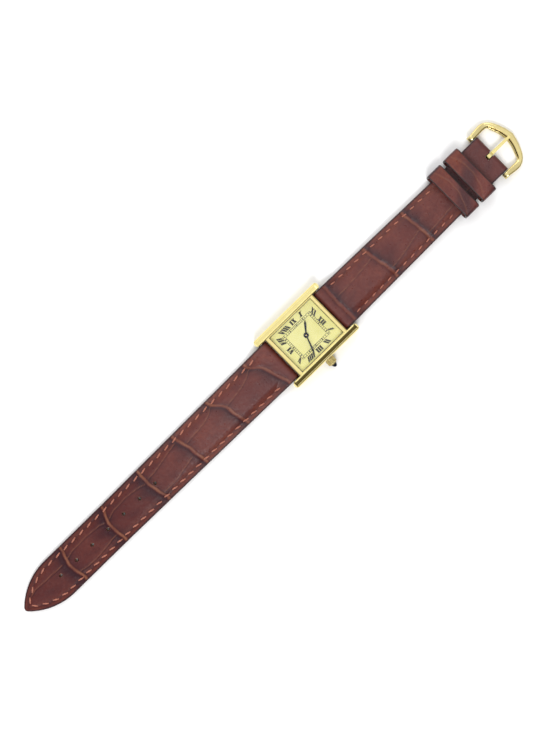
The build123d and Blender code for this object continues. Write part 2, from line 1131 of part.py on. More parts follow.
# Crown: a fluted cup over the tube with a collar for the cabochon
crown_bore = crown_radius - crown_wall
with BuildPart() as crown:
    rod(crown_start, 0, stem_level, crown_radius, crown_length)
    chamfer(crown.edges(), crown_round)
    rod(crown_end, 0, stem_level, collar_radius, collar_height)
    with BuildSketch(Plane.YZ.offset(crown_start)) as flutes:
        with Locations((0, stem_level)):
            with PolarLocations(crown_radius, crown_flutes):
                Circle(crown_flute_radius)
    extrude(amount=crown_length, mode=Mode.SUBTRACT)
    rod(
        crown_start,
        0,
        stem_level,
        crown_bore,
        crown_length - crown_end_wall,
        Mode.SUBTRACT,
    )
    rod(
        crown_start,
        0,
        stem_level,
        stem_radius,
        crown_length - crown_end_wall + stem_seat,
        Mode.SUBTRACT,
    )
finish(crown, "crown")

with BuildPart() as crown_cabochon:
    with BuildSketch(Plane.XZ) as dome:
        with BuildLine():
            base = crown_end + collar_height
            tip = crown_end + cabochon_height
            Line((base, stem_level), (base, stem_level + cabochon_radius))
            Spline(
                (base, stem_level + cabochon_radius),
                (tip, stem_level),
                tangents=((1, -cabochon_nose), (-cabochon_nose, -1)),
            )
            Line((tip, stem_level), (base, stem_level))
        make_face()
    revolve(axis=Axis((0, 0, stem_level), (1, 0, 0)))
finish(crown_cabochon, "crown_cabochon")

# Crown gasket: slides along the tube inside the crown
seal_start = crown_start + seal_offset
with BuildPart() as crown_gasket:
    rod(seal_start, 0, stem_level, crown_bore - seal_clearance, seal_width)
    rod(
        seal_start,
        0,
        stem_level,
        tube_radius + seal_clearance,
        seal_width,
        Mode.SUBTRACT,
    )
finish(crown_gasket, "crown_gasket")

# Stem: screwed into the crown, with the groove that the setting lever rides in
stem_end = crown_end - crown_end_wall + stem_seat
with BuildPart() as winding_stem:
    rod(stem_reach, 0, stem_level, stem_radius, stem_end - stem_reach)
    rod(
        pin_x - stem_groove_width / 2,
        0,
        stem_level,
        stem_radius + overrun,
        stem_groove_width,
        Mode.SUBTRACT,
    )
    rod(
        pin_x - stem_groove_width / 2,
        0,
        stem_level,
        stem_groove_radius,
        stem_groove_width,
    )
finish(winding_stem, "winding_stem")

# Setting lever: an arm on a post, with a pin up into the stem's groove
pin_y = lever_arm - lever_arm * cos(radians(lever_swing))
with BuildPart() as setting_lever:
    with BuildSketch(Plane.XY.offset(lever_level)):
        with Locations(((pin_x + lever_x) / 2, (pin_y + lever_arm) / 2)):
            SlotCenterToCenter(lever_arm, lever_width, rotation=90 - lever_swing)
        with Locations(lever_pivot):
            Circle(lever_pin_radius + pivot_clearance, mode=Mode.SUBTRACT)
    extrude(amount=lever_thickness)
    post(
        pin_x,
        pin_y,
        lever_level + lever_thickness,
        lever_pin_radius,
        stem_level - stem_groove_radius - pivot_clearance - lever_level - lever_thickness,
    )
finish(setting_lever, "setting_lever")


# Spring bars: a sleeve with a spring and two sprung tips, in the case's lugs
# and in the buckle's ears
def spring_bar(name, y, level, half_gap, reach):
    """Sleeve, spring and two tips of one bar, between walls half_gap away."""
    sleeve_half = half_gap - sleeve_clearance
    with BuildPart() as sleeve:
        rod(-sleeve_half, y, level, sleeve_radius, 2 * sleeve_half)
        rod(-sleeve_half, y, level, sleeve_bore, 2 * sleeve_half, Mode.SUBTRACT)
    finish(sleeve, f"{name}_sleeve")
    spring_half = sleeve_half - tip_shank - tip_retraction
    with BuildPart() as spring:
        rod(-spring_half, y, level, sleeve_bore - tip_clearance, 2 * spring_half)
        rod(
            -spring_half,
            y,
            level,
            sleeve_bore - tip_clearance - spring_wall,
            2 * spring_half,
            Mode.SUBTRACT,
        )
    finish(spring, f"{name}_spring")
    for side, word in ((-1, "left"), (1, "right")):
        shank = sleeve_half - tip_shank
        shoulder = sleeve_half - sleeve_clearance
        end = half_gap + reach - strap_gap
        with BuildPart() as tip:
            for radius, start, stop in (
                (sleeve_bore - tip_clearance, shank, shoulder),
                (tip_radius, shoulder, end),
            ):
                left = start if side > 0 else -stop
                rod(left, y, level, radius, stop - start)
        finish(tip, f"{name}_tip_{word}")


spring_bar("spring_bar_12", bar_y, bar_level, rail_inner, tip_reach)
spring_bar("spring_bar_6", -bar_y, bar_level, rail_inner, tip_reach)

# Strap levels near the buckle: the strap stands on the keepers' lower walls
keeper_floor = keeper_wall
run_level = keeper_floor + keeper_clearance_below
strap_half_lug = rail_inner - strap_gap
strap_half_end = strap_width_end / 2
buckle_bar_y = buckle_half_length - buckle_loop_radius
buckle_bar_level = run_level + buckle_loop_radius
fixed_keeper_start = buckle_bar_y - fixed_keeper_back
free_keeper_start = fixed_keeper_start - keeper_space - free_keeper_length
strap_12_taper_end = buckle_bar_y - strap_12_taper_back
padding_12_end = buckle_bar_y - padding_12_back
keeper_run = buckle_bar_y - keeper_run_back
loop_start = bar_y + strap_lug_run
bulge_start = buckle_bar_y - 3 * buckle_loop_radius


def strap_side(under, over, sign, near_loop=False, far_loop=False):
    """The strap from the side, between its under and upper lines of points."""
    with BuildSketch(Plane.YZ) as outline:
        with BuildLine():
            low = Polyline(*[(sign * y, z) for y, z in under])
            high = Polyline(*[(sign * y, z) for y, z in over])
            for looped, end, way in ((near_loop, 0, -sign), (far_loop, 1, sign)):
                foot, head = low @ end, high @ end
                radius = (head.Y - foot.Y) / 2
                if looped:
                    ThreePointArc(foot, (foot.X + way * radius, foot.Y + radius), head)
                else:
                    Line(foot, head)
        make_face()
    return outline.sketch


# Strap half at twelve: from the case's spring bar to the buckle's bar
under_12 = [
    (bar_y, bar_level - loop_radius),
    (strap_shoulder, strap_lift / 2),
    (keeper_run, run_level),
    (buckle_bar_y, run_level),
]
over_12 = [
    (bar_y, bar_level + loop_radius),
    (strap_shoulder, strap_top),
    (strap_12_taper_end, run_level + strap_12_thin),
    (bulge_start, run_level + strap_12_thin),
    (buckle_bar_y, buckle_bar_level + buckle_loop_radius),
]


def plan_12():
    """The strap half's outline from above."""
    with BuildSketch() as outline:
        with BuildLine():
            Polyline(
                (-strap_half_lug, bar_y - loop_radius - overrun),
                (strap_half_lug, bar_y - loop_radius - overrun),
                (strap_half_lug, loop_start),
                (strap_half_end, strap_12_taper_end),
                (strap_half_end, buckle_half_length + overrun),
                (-strap_half_end, buckle_half_length + overrun),
                (-strap_half_end, strap_12_taper_end),
                (-strap_half_lug, loop_start),
                close=True,
            )
        make_face()
    return outline.sketch


def bore(y, level):
    """The bore across the strap for a bar's sleeve."""
    rod(
        -strap_half_lug - overrun,
        y,
        level,
        sleeve_radius + strap_bore_clearance,
        2 * (strap_half_lug + overrun),
        Mode.SUBTRACT,
    )


def level_at(points, y):
    """The height of a line of points at a station."""
    for (y0, z0), (y1, z1) in zip(points, points[1:]):
        if y0 <= y <= y1:
            return z0 + (z1 - z0) * (y - y0) / (y1 - y0)
    return points[-1][1]


def span(points, start, stop, rise=0):
    """The stretch of a line of points between two stations, lifted by rise."""
    between = [(y, z + rise) for y, z in points if start < y < stop]
    ends = [(y, level_at(points, y) + rise) for y in (start, stop)]
    return [ends[0], *between, ends[1]]


# Lining, a strip under each half, from the lug loop on
lining_start = loop_start
tongue_ring = sleeve_radius + strap_bore_clearance + tongue_wrap
notch_start = buckle_bar_y - tongue_ring - tongue_rest_gap * 2
lining_stop_12 = notch_start - strap_gap
tall = strap_top + lining_thickness

with BuildPart() as strap_12_lining:
    low = span(under_12, lining_start, lining_stop_12)
    high = span(under_12, lining_start, lining_stop_12, lining_thickness)
    extrude(strap_side(low, high, 1), amount=strap_half_lug, both=True)
    extrude(plan_12(), amount=tall, mode=Mode.INTERSECT)
finish(strap_12_lining, "strap_12_lining")

# Padding: a tapered pad that gives each half its thickness by the case
pad_start = lining_start + strap_gap
pad_half_start = strap_half_lug - padding_inset
pad_half_stop = strap_half_end - padding_inset


def padding(under, over, stop, sign):
    """The pad between lining and leather, from the lug loop to a station."""
    low = span(under, pad_start, stop, lining_thickness)
    high = span(over, pad_start, stop, -leather_thickness)
    extrude(strap_side(low, high, sign), amount=pad_half_start, both=True)
    with BuildSketch() as plan:
        with BuildLine():
            Polyline(
                (-pad_half_start, sign * pad_start),
                (pad_half_start, sign * pad_start),
                (pad_half_stop, sign * stop),
                (-pad_half_stop, sign * stop),
                close=True,
            )
        make_face()
    extrude(plan.sketch, amount=tall, mode=Mode.INTERSECT)


with BuildPart() as strap_12_padding:
    padding(under_12, over_12, padding_12_end, 1)
finish(strap_12_padding, "strap_12_padding")

with BuildPart() as strap_12_leather:
    extrude(
        strap_side(under_12, over_12, 1, near_loop=True, far_loop=True),
        amount=strap_half_lug + overrun,
        both=True,
    )
    extrude(plan_12(), amount=tall, mode=Mode.INTERSECT)
    add(strap_12_lining.part, mode=Mode.SUBTRACT)
    add(strap_12_padding.part, mode=Mode.SUBTRACT)
    bore(bar_y, bar_level)
    bore(buckle_bar_y, buckle_bar_level)
    # The loop round the buckle's bar is open in the middle for the tongue
    with BuildSketch() as notch:
        with Locations((0, notch_start)):
            Rectangle(
                tongue_notch,
                buckle_half_length - notch_start + overrun,
                align=(Align.CENTER, Align.MIN),
            )
    extrude(notch.sketch, amount=tall + overrun, mode=Mode.SUBTRACT)
finish(strap_12_leather, "strap_12_leather")

# Strap half at six: the tail with its row of holes and pointed tip
tail_taper_end = tail_half_length - tail_taper_back
padding_6_end = tail_half_length - padding_6_back
hole_first = tail_half_length - hole_last_back - (hole_count - 1) * hole_pitch
under_6 = [
    (bar_y, bar_level - loop_radius),
    (strap_shoulder, 0),
    (tail_half_length, 0),
]
over_6 = [
    (bar_y, bar_level + loop_radius),
    (strap_shoulder, strap_top),
    (tail_taper_end, tail_thin),
    (tail_half_length, tail_end_thickness),
]
tip_start = tail_half_length - tip_length
nose_y = tail_half_length - tip_nose / 2


def plan_6():
    """The tail's outline from above, with its pointed tip."""
    with BuildSketch() as outline:
        with BuildLine():
            right = Polyline(
                (strap_half_lug, -bar_y + loop_radius + overrun),
                (strap_half_lug, -loop_start),
                (strap_half_end, -tail_taper_end),
                (strap_half_end, -tip_start),
            )
            edge = TangentArc(right @ 1, (tip_nose, -nose_y), tangent=(0, -1))
            mirror(about=Plane.YZ)
            ThreePointArc(edge @ 1, (0, -tail_half_length), (-tip_nose, -nose_y))
            Line((-strap_half_lug, -bar_y + loop_radius + overrun), right @ 0)
        make_face()
    return outline.sketch


with BuildPart() as strap_6_lining:
    low = span(under_6, lining_start, tail_half_length)
    high = span(under_6, lining_start, tail_half_length, lining_thickness)
    extrude(strap_side(low, high, -1), amount=strap_half_lug, both=True)
    extrude(plan_6(), amount=tall, mode=Mode.INTERSECT)
    for number in range(hole_count):
        place = -hole_first - number * hole_pitch
        post(0, place, -overrun, hole_radius, tall + overrun, Mode.SUBTRACT)
finish(strap_6_lining, "strap_6_lining")

with BuildPart() as strap_6_padding:
    padding(under_6, over_6, padding_6_end, -1)
    for number in range(hole_count):
        place = -hole_first - number * hole_pitch
        post(0, place, -overrun, hole_radius, tall + overrun, Mode.SUBTRACT)
finish(strap_6_padding, "strap_6_padding")

with BuildPart() as strap_6_leather:
    extrude(
        strap_side(under_6, over_6, -1, near_loop=True),
        amount=strap_half_lug + overrun,
        both=True,
    )
    extrude(plan_6(), amount=tall, mode=Mode.INTERSECT)
    add(strap_6_lining.part, mode=Mode.SUBTRACT)
    add(strap_6_padding.part, mode=Mode.SUBTRACT)
    bore(-bar_y, bar_level)
    for number in range(hole_count):
        place = -hole_first - number * hole_pitch
        post(0, place, -overrun, hole_radius, tall + overrun, Mode.SUBTRACT)
finish(strap_6_leather, "strap_6_leather")


def keeper(start, length, floor):
    """A leather band round the strap, its floor at a level."""
    width = keeper_inner_width
    middle = floor + keeper_inner_height / 2
    with BuildSketch(Plane.XZ.offset(-start)) as band:
        with Locations((0, middle)):
            RectangleRounded(
                width + 2 * keeper_wall,
                keeper_inner_height + 2 * keeper_wall,
                keeper_corner,
            )
            RectangleRounded(
                width,
                keeper_inner_height,
                keeper_corner - keeper_wall,
                mode=Mode.SUBTRACT,
            )
    extrude(band.sketch, amount=-length)


# Keepers: the free one slides, the fixed one is sewn to the strap's underside
with BuildPart() as keeper_free:
    keeper(free_keeper_start, free_keeper_length, keeper_floor)
finish(keeper_free, "keeper_free")

with BuildPart() as keeper_fixed:
    keeper(fixed_keeper_start, fixed_keeper_length, run_level)
finish(keeper_fixed, "keeper_fixed")

spring_bar(
    "buckle_bar",
    buckle_bar_y,
    buckle_bar_level,
    strap_half_end + buckle_gap,
    tip_reach,
)

# Buckle frame: two arms on the bar and a bowed front that comes to a slight point
arm_inner = strap_half_end + buckle_gap
arm_outer = arm_inner + arm_thickness
frame_front_top = buckle_bar_level - tongue_rest_gap - tongue_thickness / 3
frame_reach = buckle_bar_y + frame_front
frame_shoulder = buckle_bar_y + frame_shoulder_run
frame_waist = buckle_bar_y + frame_waist_run
frame_inner_reach = frame_reach - frame_bar
tongue_reach = frame_reach - tongue_overhang
with BuildPart() as buckle_frame:
    with BuildSketch() as frame_plan:
        with BuildLine():
            flank = Line(
                (arm_outer, buckle_bar_y - buckle_loop_radius),
                (arm_outer + frame_flare, frame_waist),
            )
            bend = TangentArc(
                flank @ 1,
                (arm_outer - frame_corner, frame_shoulder + frame_corner),
                tangent=flank % 1,
            )
            bow = ThreePointArc(
                bend @ 1,
                (arm_outer / 3, frame_reach - frame_point / 2),
                (0, frame_reach),
            )
            Line(bow @ 1, (0, frame_inner_reach))
            inner_bow = ThreePointArc(
                (0, frame_inner_reach),
                (arm_inner / 2, frame_inner_reach - frame_point / 3),
                (arm_inner, frame_shoulder),
            )
            Line(inner_bow @ 1, (arm_inner, buckle_bar_y - buckle_loop_radius))
            Line(
                (arm_inner, buckle_bar_y - buckle_loop_radius),
                (arm_outer, buckle_bar_y - buckle_loop_radius),
            )
        make_face()
        mirror(about=Plane.YZ)
    extrude(amount=tall)
    with BuildSketch(Plane.YZ) as frame_side:
        with Locations((buckle_bar_y, buckle_bar_level)):
            Circle(buckle_loop_radius)
        with BuildLine():
            Polyline(
                (buckle_bar_y, buckle_bar_level - buckle_loop_radius),
                (frame_shoulder, 0),
                (frame_reach, 0),
                (frame_reach, frame_front_top),
                (frame_shoulder, frame_front_top),
                (buckle_bar_y, buckle_bar_level + buckle_loop_radius),
                close=True,
            )
        make_face()
    extrude(amount=2 * arm_outer, both=True, mode=Mode.INTERSECT)
    for side in (-1, 1):
        start = arm_inner if side > 0 else -arm_inner - tip_reach
        rod(
            start,
            buckle_bar_y,
            buckle_bar_level,
            tip_radius + lug_hole_clearance,
            tip_reach,
            Mode.SUBTRACT,
        )
finish(buckle_frame, "buckle_frame")

# Tongue: a ring on the bar and a blade that rests on the frame's front
with BuildPart() as buckle_tongue:
    with BuildSketch(Plane.YZ) as tongue_side:
        with Locations((buckle_bar_y, buckle_bar_level)):
            Circle(tongue_ring)
        with BuildLine():
            Polyline(
                (buckle_bar_y, buckle_bar_level - tongue_thickness / 2),
                (tongue_reach, frame_front_top + tongue_rest_gap),
                (tongue_reach, frame_front_top + tongue_rest_gap + tongue_thickness),
                (buckle_bar_y, buckle_bar_level + tongue_thickness / 2),
                close=True,
            )
        make_face()
        with Locations((buckle_bar_y, buckle_bar_level)):
            Circle(sleeve_radius + strap_bore_clearance, mode=Mode.SUBTRACT)
    extrude(amount=tongue_width, both=True)
    with BuildSketch() as tongue_plan:
        with BuildLine():
            Polyline(
                (-tongue_width / 2, buckle_bar_y - tongue_ring),
                (tongue_width / 2, buckle_bar_y - tongue_ring),
                (tongue_width / 2, buckle_half_length),
                (tongue_tip_width / 2, tongue_reach),
                (-tongue_tip_width / 2, tongue_reach),
                (-tongue_width / 2, buckle_half_length),
                close=True,
            )
        make_face()
    extrude(amount=tall, mode=Mode.INTERSECT)
finish(buckle_tongue, "buckle_tongue")
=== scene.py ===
from math import cos, pi, radians, sin

import bmesh
import bpy
import numpy as np
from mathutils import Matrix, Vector


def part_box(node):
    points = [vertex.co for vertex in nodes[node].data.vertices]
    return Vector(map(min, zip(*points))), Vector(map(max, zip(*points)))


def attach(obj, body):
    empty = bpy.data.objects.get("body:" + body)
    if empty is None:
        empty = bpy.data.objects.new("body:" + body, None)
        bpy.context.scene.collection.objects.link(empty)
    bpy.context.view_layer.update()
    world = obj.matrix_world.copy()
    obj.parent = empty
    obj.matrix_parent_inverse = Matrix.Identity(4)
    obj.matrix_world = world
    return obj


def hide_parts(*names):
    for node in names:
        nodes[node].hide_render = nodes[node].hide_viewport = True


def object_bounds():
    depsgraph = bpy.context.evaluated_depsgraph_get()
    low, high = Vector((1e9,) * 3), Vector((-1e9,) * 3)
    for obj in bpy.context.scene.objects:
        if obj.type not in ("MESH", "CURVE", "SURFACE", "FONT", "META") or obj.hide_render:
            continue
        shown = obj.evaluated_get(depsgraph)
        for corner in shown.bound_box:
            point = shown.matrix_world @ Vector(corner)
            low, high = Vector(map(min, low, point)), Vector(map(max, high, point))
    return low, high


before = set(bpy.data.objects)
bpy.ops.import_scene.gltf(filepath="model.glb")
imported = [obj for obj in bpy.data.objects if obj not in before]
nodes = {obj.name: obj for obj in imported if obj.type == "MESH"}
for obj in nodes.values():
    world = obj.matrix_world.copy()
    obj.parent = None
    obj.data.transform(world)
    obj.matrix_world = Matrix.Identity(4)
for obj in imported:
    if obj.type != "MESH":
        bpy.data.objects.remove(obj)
cad_box = [list(corner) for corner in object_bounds()]
mm = 0.001


# The watch lies face up on a bright pale table under wide soft light. The
# camera looks straight down on it, turned so that the strap runs corner to
# corner.
view_turn = radians(45.6)
view_height = 0.56
picture_length = 0.2346
aim_x, aim_y, aim_z = 0.15 * mm, -14.1 * mm, 3 * mm
lens_data = bpy.data.cameras.new("camera")
lens_data.sensor_width = 36
lens_data.lens = lens_data.sensor_width * view_height / picture_length
lens_data.clip_end = 20
camera = bpy.data.objects.new("camera", lens_data)
camera.location = (aim_x, aim_y, aim_z + view_height)
camera.rotation_euler = (0, 0, view_turn)
bpy.context.collection.objects.link(camera)
bpy.context.scene.camera = camera
bpy.context.scene.view_settings.view_transform = "Standard"


def add_node(tree, kind, output, settings=None, **inputs):
    """A shader node with its inputs set or wired, as the socket that it gives."""
    node = tree.nodes.new(kind)
    for name, value in (settings or {}).items():
        setattr(node, name, value)
    for name, value in inputs.items():
        feed(tree, node.inputs[name.replace("_", " ")], value)
    return node.outputs[output]


def feed(tree, socket, value):
    """Sets a socket, or wires it where the value comes from another node."""
    if isinstance(value, bpy.types.NodeSocket):
        tree.links.new(value, socket)
    else:
        socket.default_value = value


def finish_of(name, roughness, metallic=0.0):
    """A new material with its nodes, its shader's sockets and the object's place."""
    material = bpy.data.materials.new(name)
    material.use_nodes = True
    tree = material.node_tree
    sockets = tree.nodes["Principled BSDF"].inputs
    feed(tree, sockets["Roughness"], roughness)
    feed(tree, sockets["Metallic"], metallic)
    place = add_node(tree, "ShaderNodeTexCoord", "Object")
    return material, tree, sockets, place


def speckle(tree, place, scale, detail=2.0):
    """Soft random blotches, about 1 / scale metres across."""
    return add_node(
        tree, "ShaderNodeTexNoise", "Fac", Vector=place, Scale=scale, Detail=detail
    )


def ranged(tree, value, low, high, start=0.3, stop=0.7):
    """A value between two limits taken to another pair of limits."""
    return add_node(
        tree,
        "ShaderNodeMapRange",
        "Result",
        Value=value,
        From_Min=start,
        From_Max=stop,
        To_Min=low,
        To_Max=high,
    )


def mixed(tree, share, first, second):
    """Two colours mixed by a share."""
    node = tree.nodes.new("ShaderNodeMix")
    node.data_type = "RGBA"
    for index, value in ((0, share), (6, first), (7, second)):
        feed(tree, node.inputs[index], value)
    return node.outputs[2]


def tint(tree, sockets, share, first, second):
    """Colours a shader with two colours mixed by a share."""
    feed(tree, sockets["Base Color"], mixed(tree, share, first, second))


def worked(tree, operation, *values):
    """A sum on values or sockets."""
    result = add_node(tree, "ShaderNodeMath", "Value", {"operation": operation})
    for socket, value in zip(result.node.inputs, values):
        feed(tree, socket, value)
    return result


def relief(tree, sockets, height, depth, below=None):
    """Fine relief of a depth in metres on a shader, over coarser relief below it."""
    inputs = {"Height": height, "Distance": depth, "Strength": 1.0}
    if below is not None:
        inputs["Normal"] = below
    normal = add_node(tree, "ShaderNodeBump", "Normal", **inputs)
    feed(tree, sockets["Normal"], normal)
    return normal


def mottled(name, roughness, first, second, scale, grain, depth):
    """A plain finish of two colours in blotches, with a fine grain."""
    material, tree, sockets, place = finish_of(name, roughness)
    tint(tree, sockets, speckle(tree, place, scale), first, second)
    relief(tree, sockets, speckle(tree, place, grain), depth)
    return material


table_cool = (0.91, 0.91, 0.92, 1)
table_white = (0.94, 0.94, 0.94, 1)
table_paint = mottled("table_paint", 0.75, table_cool, table_white, 40, 1500, 4e-6)
table_half = 2.5
table_level = cad_box[0][2] - 0.02 * mm
table_mesh = bpy.data.meshes.new("table")
table_mesh.from_pydata(
    [
        (x * table_half, y * table_half, table_level)
        for x, y in ((-1, -1), (1, -1), (1, 1), (-1, 1))
    ],
    [],
    [(0, 1, 2, 3)],
)
table_mesh.materials.append(table_paint)
table = bpy.data.objects.new("table", table_mesh)
bpy.context.collection.objects.link(table)

# The room is brightest overhead and at the window, greyer at the sides, with a
# dark screen low on the crown's side that the polished metal mirrors
room_overhead = (1.03, 1.03, 1.03, 1)
room_window = (0.98, 0.98, 0.98, 1)
room_side = (0.6, 0.6, 0.61, 1)
room_screen = (0.11, 0.095, 0.07, 1)
studio = bpy.data.worlds.new("studio")
studio.use_nodes = True
tree = studio.node_tree
room = add_node(tree, "ShaderNodeTexCoord", "Generated")
toward_crown = add_node(tree, "ShaderNodeSeparateXYZ", "X", Vector=room)
upward = add_node(tree, "ShaderNodeSeparateXYZ", "Z", Vector=room)
beside = ranged(tree, toward_crown, 0.0, 1.0, 0.34, 0.56)
below_screen = ranged(tree, upward, 1.0, 0.0, 0.78, 0.9)
screened = worked(tree, "MULTIPLY", beside, below_screen)
toward_window = ranged(tree, toward_crown, 0.0, 1.0, -0.2, -0.6)
walls = mixed(tree, toward_window, room_side, room_window)
overhead = ranged(tree, upward, 0.0, 1.0, 0.4, 0.95)
room_light = mixed(tree, overhead, walls, room_overhead)
room_light = mixed(tree, screened, room_light, room_screen)
feed(tree, tree.nodes["Background"].inputs["Color"], room_light)
bpy.context.scene.world = studio


def lamp(name, size, power, place):
    """A square soft light that faces the watch."""
    data = bpy.data.lights.new(name, "AREA")
    data.size = size
    data.energy = power
    light = bpy.data.objects.new(name, data)
    light.location = place
    light.rotation_euler = Vector(place).to_track_quat("Z", "Y").to_euler()
    bpy.context.collection.objects.link(light)


lamp("key_light", 0.5, 8.0, (0.52, -0.4, 0.95))
lamp("fill_light", 0.9, 3.0, (-0.7, 0.5, 0.9))


# Case: a body between two long rails whose ends are the lugs, pressed in brass,
# gilt and polished bright, and darkened brown with painted shade where it meets
# the strap. The back, held by four screws, is of the same gilt.
gold_light = (0.93, 0.82, 0.38, 1)
gold_deep = (0.86, 0.71, 0.28, 1)


def metal(
    name, light, deep, smooth, rough, grain, stretch=(1, 1, 1), depth=1e-6, swell=None
):
    """Metal with its polish or brushing, whose lines run along the axis of stretch."""
    material, tree, sockets, place = finish_of(name, smooth, 1.0)
    lay = add_node(tree, "ShaderNodeMapping", "Vector", Vector=place, Scale=stretch)
    lines = speckle(tree, lay, grain, 4.0)
    tint(tree, sockets, speckle(tree, place, 260), light, deep)
    feed(tree, sockets["Roughness"], ranged(tree, lines, smooth, rough))
    below = swell(tree, sockets, place) if swell else None
    relief(tree, sockets, lines, depth, below)
    return material


def dress(material, *names):
    """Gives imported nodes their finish."""
    for name in names:
        nodes[name].data.materials.clear()
        nodes[name].data.materials.append(material)


def stain(material, share, colour):
    """Mixes a stain into a material's colour by a share."""
    tree = material.node_tree
    socket = tree.nodes["Principled BSDF"].inputs["Base Color"]
    clean = socket.links[0].from_socket
    feed(tree, socket, mixed(tree, share, clean, colour))


bright_polish = (0.07, 0.17, 700, (1, 0.2, 1))
gilt = metal("gilt", gold_light, gold_deep, *bright_polish)
rail_ridge, rail_fall = 8.0 * mm, 9.7 * mm
rail_swell_height = 0.8 * mm
rail_waves = 0.16 * mm


def rail_swell(tree, sockets, place):
    """Polishing has left the rails' tops wavy, and falling away from the dial."""
    across = add_node(tree, "ShaderNodeSeparateXYZ", "X", Vector=place)
    away = worked(tree, "ABSOLUTE", across)
    fall = ranged(tree, away, 1.0, 0.0, rail_ridge, rail_fall)
    slope = relief(tree, sockets, fall, rail_swell_height)
    return relief(tree, sockets, speckle(tree, place, 130, 0.0), rail_waves, slope)


polished_case = metal(
    "polished_case", gold_light, gold_deep, *bright_polish, swell=rail_swell
)
# Painted shade: between the rails the case is darkened brown where it meets the strap
strap_shade_brown = (0.34, 0.17, 0.04, 1)
strap_shade_start, strap_shade_stop = 9.9 * mm, 10.6 * mm
rail_start, rail_stop = 7.85 * mm, 7.95 * mm
tree = polished_case.node_tree
place = add_node(tree, "ShaderNodeTexCoord", "Object")
from_middle, from_dial = (
    worked(tree, "ABSOLUTE", add_node(tree, "ShaderNodeSeparateXYZ", axis, Vector=place))
    for axis in "XY"
)
inside_rails = ranged(tree, from_middle, 1.0, 0.0, rail_start, rail_stop)
shaded_by_strap = ranged(tree, from_dial, 0.0, 1.0, strap_shade_start, strap_shade_stop)
stain(polished_case, worked(tree, "MULTIPLY", inside_rails, shaded_by_strap), strap_shade_brown)
dress(polished_case, "case_middle")
brushed_gilt = metal(
    "brushed_gilt", gold_light, gold_deep, 0.22, 0.4, 900, (1, 0.04, 1), 3e-6
)
dress(brushed_gilt, "case_back")
steel_light = (0.74, 0.74, 0.76, 1)
steel_deep = (0.55, 0.55, 0.57, 1)
turned_steel = metal("turned_steel", steel_light, steel_deep, 0.12, 0.3, 2400)
dress(turned_steel, "case_back_screws", "bridge_screws")


# Gaskets: black rubber rings under the crystal, round the back's lip and in the
# crown. They are moulded, so their skin is dull and even.
rubber_black = (0.018, 0.018, 0.019, 1)
rubber_worn = (0.04, 0.04, 0.042, 1)
gasket_rubber = mottled(
    "gasket_rubber", 0.62, rubber_black, rubber_worn, 1200, 5000, 5e-6
)
dress(gasket_rubber, "case_back_gasket", "crystal_gasket", "crown_gasket")


# Movement: brass plates and wheels, cut and finely brushed, steel arbors and
# springs, a copper coil wound on its core, and a printed board with its chip.
brass_light = (0.86, 0.66, 0.32, 1)
brass_deep = (0.72, 0.5, 0.2, 1)
brushed_brass = metal(
    "brushed_brass", brass_light, brass_deep, 0.2, 0.36, 1600, (1, 0.08, 1), 2e-6
)
dress(
    brushed_brass,
    "main_plate",
    "train_bridge",
    "cannon_pinion",
    "centre_wheel",
    "hour_wheel",
    "minute_wheel",
    "third_wheel",
    "intermediate_wheel",
)
drawn_steel = metal(
    "drawn_steel", steel_light, steel_deep, 0.14, 0.32, 2200, (0.1, 1, 1), 2e-6
)
dress(
    drawn_steel,
    "crown_tube",
    "winding_stem",
    "setting_lever",
    "cell_clamp",
    "cell",
    "stator",
    "rotor",
    "coil_core",
)
can_silver = (0.8, 0.8, 0.82, 1)
drawn_can = metal("drawn_can", can_silver, steel_light, 0.16, 0.3, 1800, (1, 0.1, 1))
dress(drawn_can, "quartz_can")

wire_thickness = 0.09 * mm
copper_light = (0.86, 0.36, 0.17, 1)
copper_deep = (0.5, 0.16, 0.07, 1)
coil_wire, tree, sockets, place = finish_of("coil_wire", 0.3, 0.85)
turns = add_node(
    tree,
    "ShaderNodeTexWave",
    "Fac",
    {"bands_direction": "X"},
    Vector=place,
    Scale=pi / (10 * wire_thickness),
    Distortion=0.0,
)
tint(tree, sockets, turns, copper_deep, copper_light)
relief(tree, sockets, turns, 2e-5)
dress(coil_wire, "coil_winding")

mask_green = (0.016, 0.13, 0.05, 1)
track_green = (0.03, 0.22, 0.09, 1)
board_mask, tree, sockets, place = finish_of("board_mask", 0.32)
tracks = add_node(
    tree, "ShaderNodeTexBrick", "Fac", Vector=place, Scale=700.0, Mortar_Size=0.03
)
tint(tree, sockets, tracks, mask_green, track_green)
relief(tree, sockets, tracks, 1e-5)
dress(board_mask, "circuit_board")

chip_resin = (0.012, 0.012, 0.013, 1)
chip_worn = (0.035, 0.034, 0.033, 1)
resin_black = mottled("resin_black", 0.42, chip_resin, chip_worn, 1500, 6000, 6e-6)
dress(resin_black, "circuit_chip")

holder_grey = (0.3, 0.31, 0.32, 1)
holder_pale = (0.4, 0.41, 0.42, 1)
holder_resin = mottled("holder_resin", 0.5, holder_grey, holder_pale, 700, 3200, 8e-6)
dress(holder_resin, "movement_holder")


# Dial: a brass plate under champagne enamel, fired and rubbed to a soft silk.
# The minute track and the numerals are printed on it in black a hair thick.
champagne_light = (0.76, 0.725, 0.325, 1)
champagne_deep = (0.70, 0.66, 0.25, 1)
dial_enamel, tree, sockets, place = finish_of("dial_enamel", 0.38)
silk = add_node(
    tree, "ShaderNodeMapping", "Vector", Vector=place, Scale=(1.0, 0.05, 1.0)
)
silk_lines = speckle(tree, silk, 2600, 3.0)
clouds = ranged(tree, speckle(tree, place, 170), 0.0, 1.0)
tint(tree, sockets, clouds, champagne_light, champagne_deep)
feed(tree, sockets["Roughness"], ranged(tree, silk_lines, 0.3, 0.45))
relief(tree, sockets, silk_lines, 1.5e-6)
dress(dial_enamel, "dial")


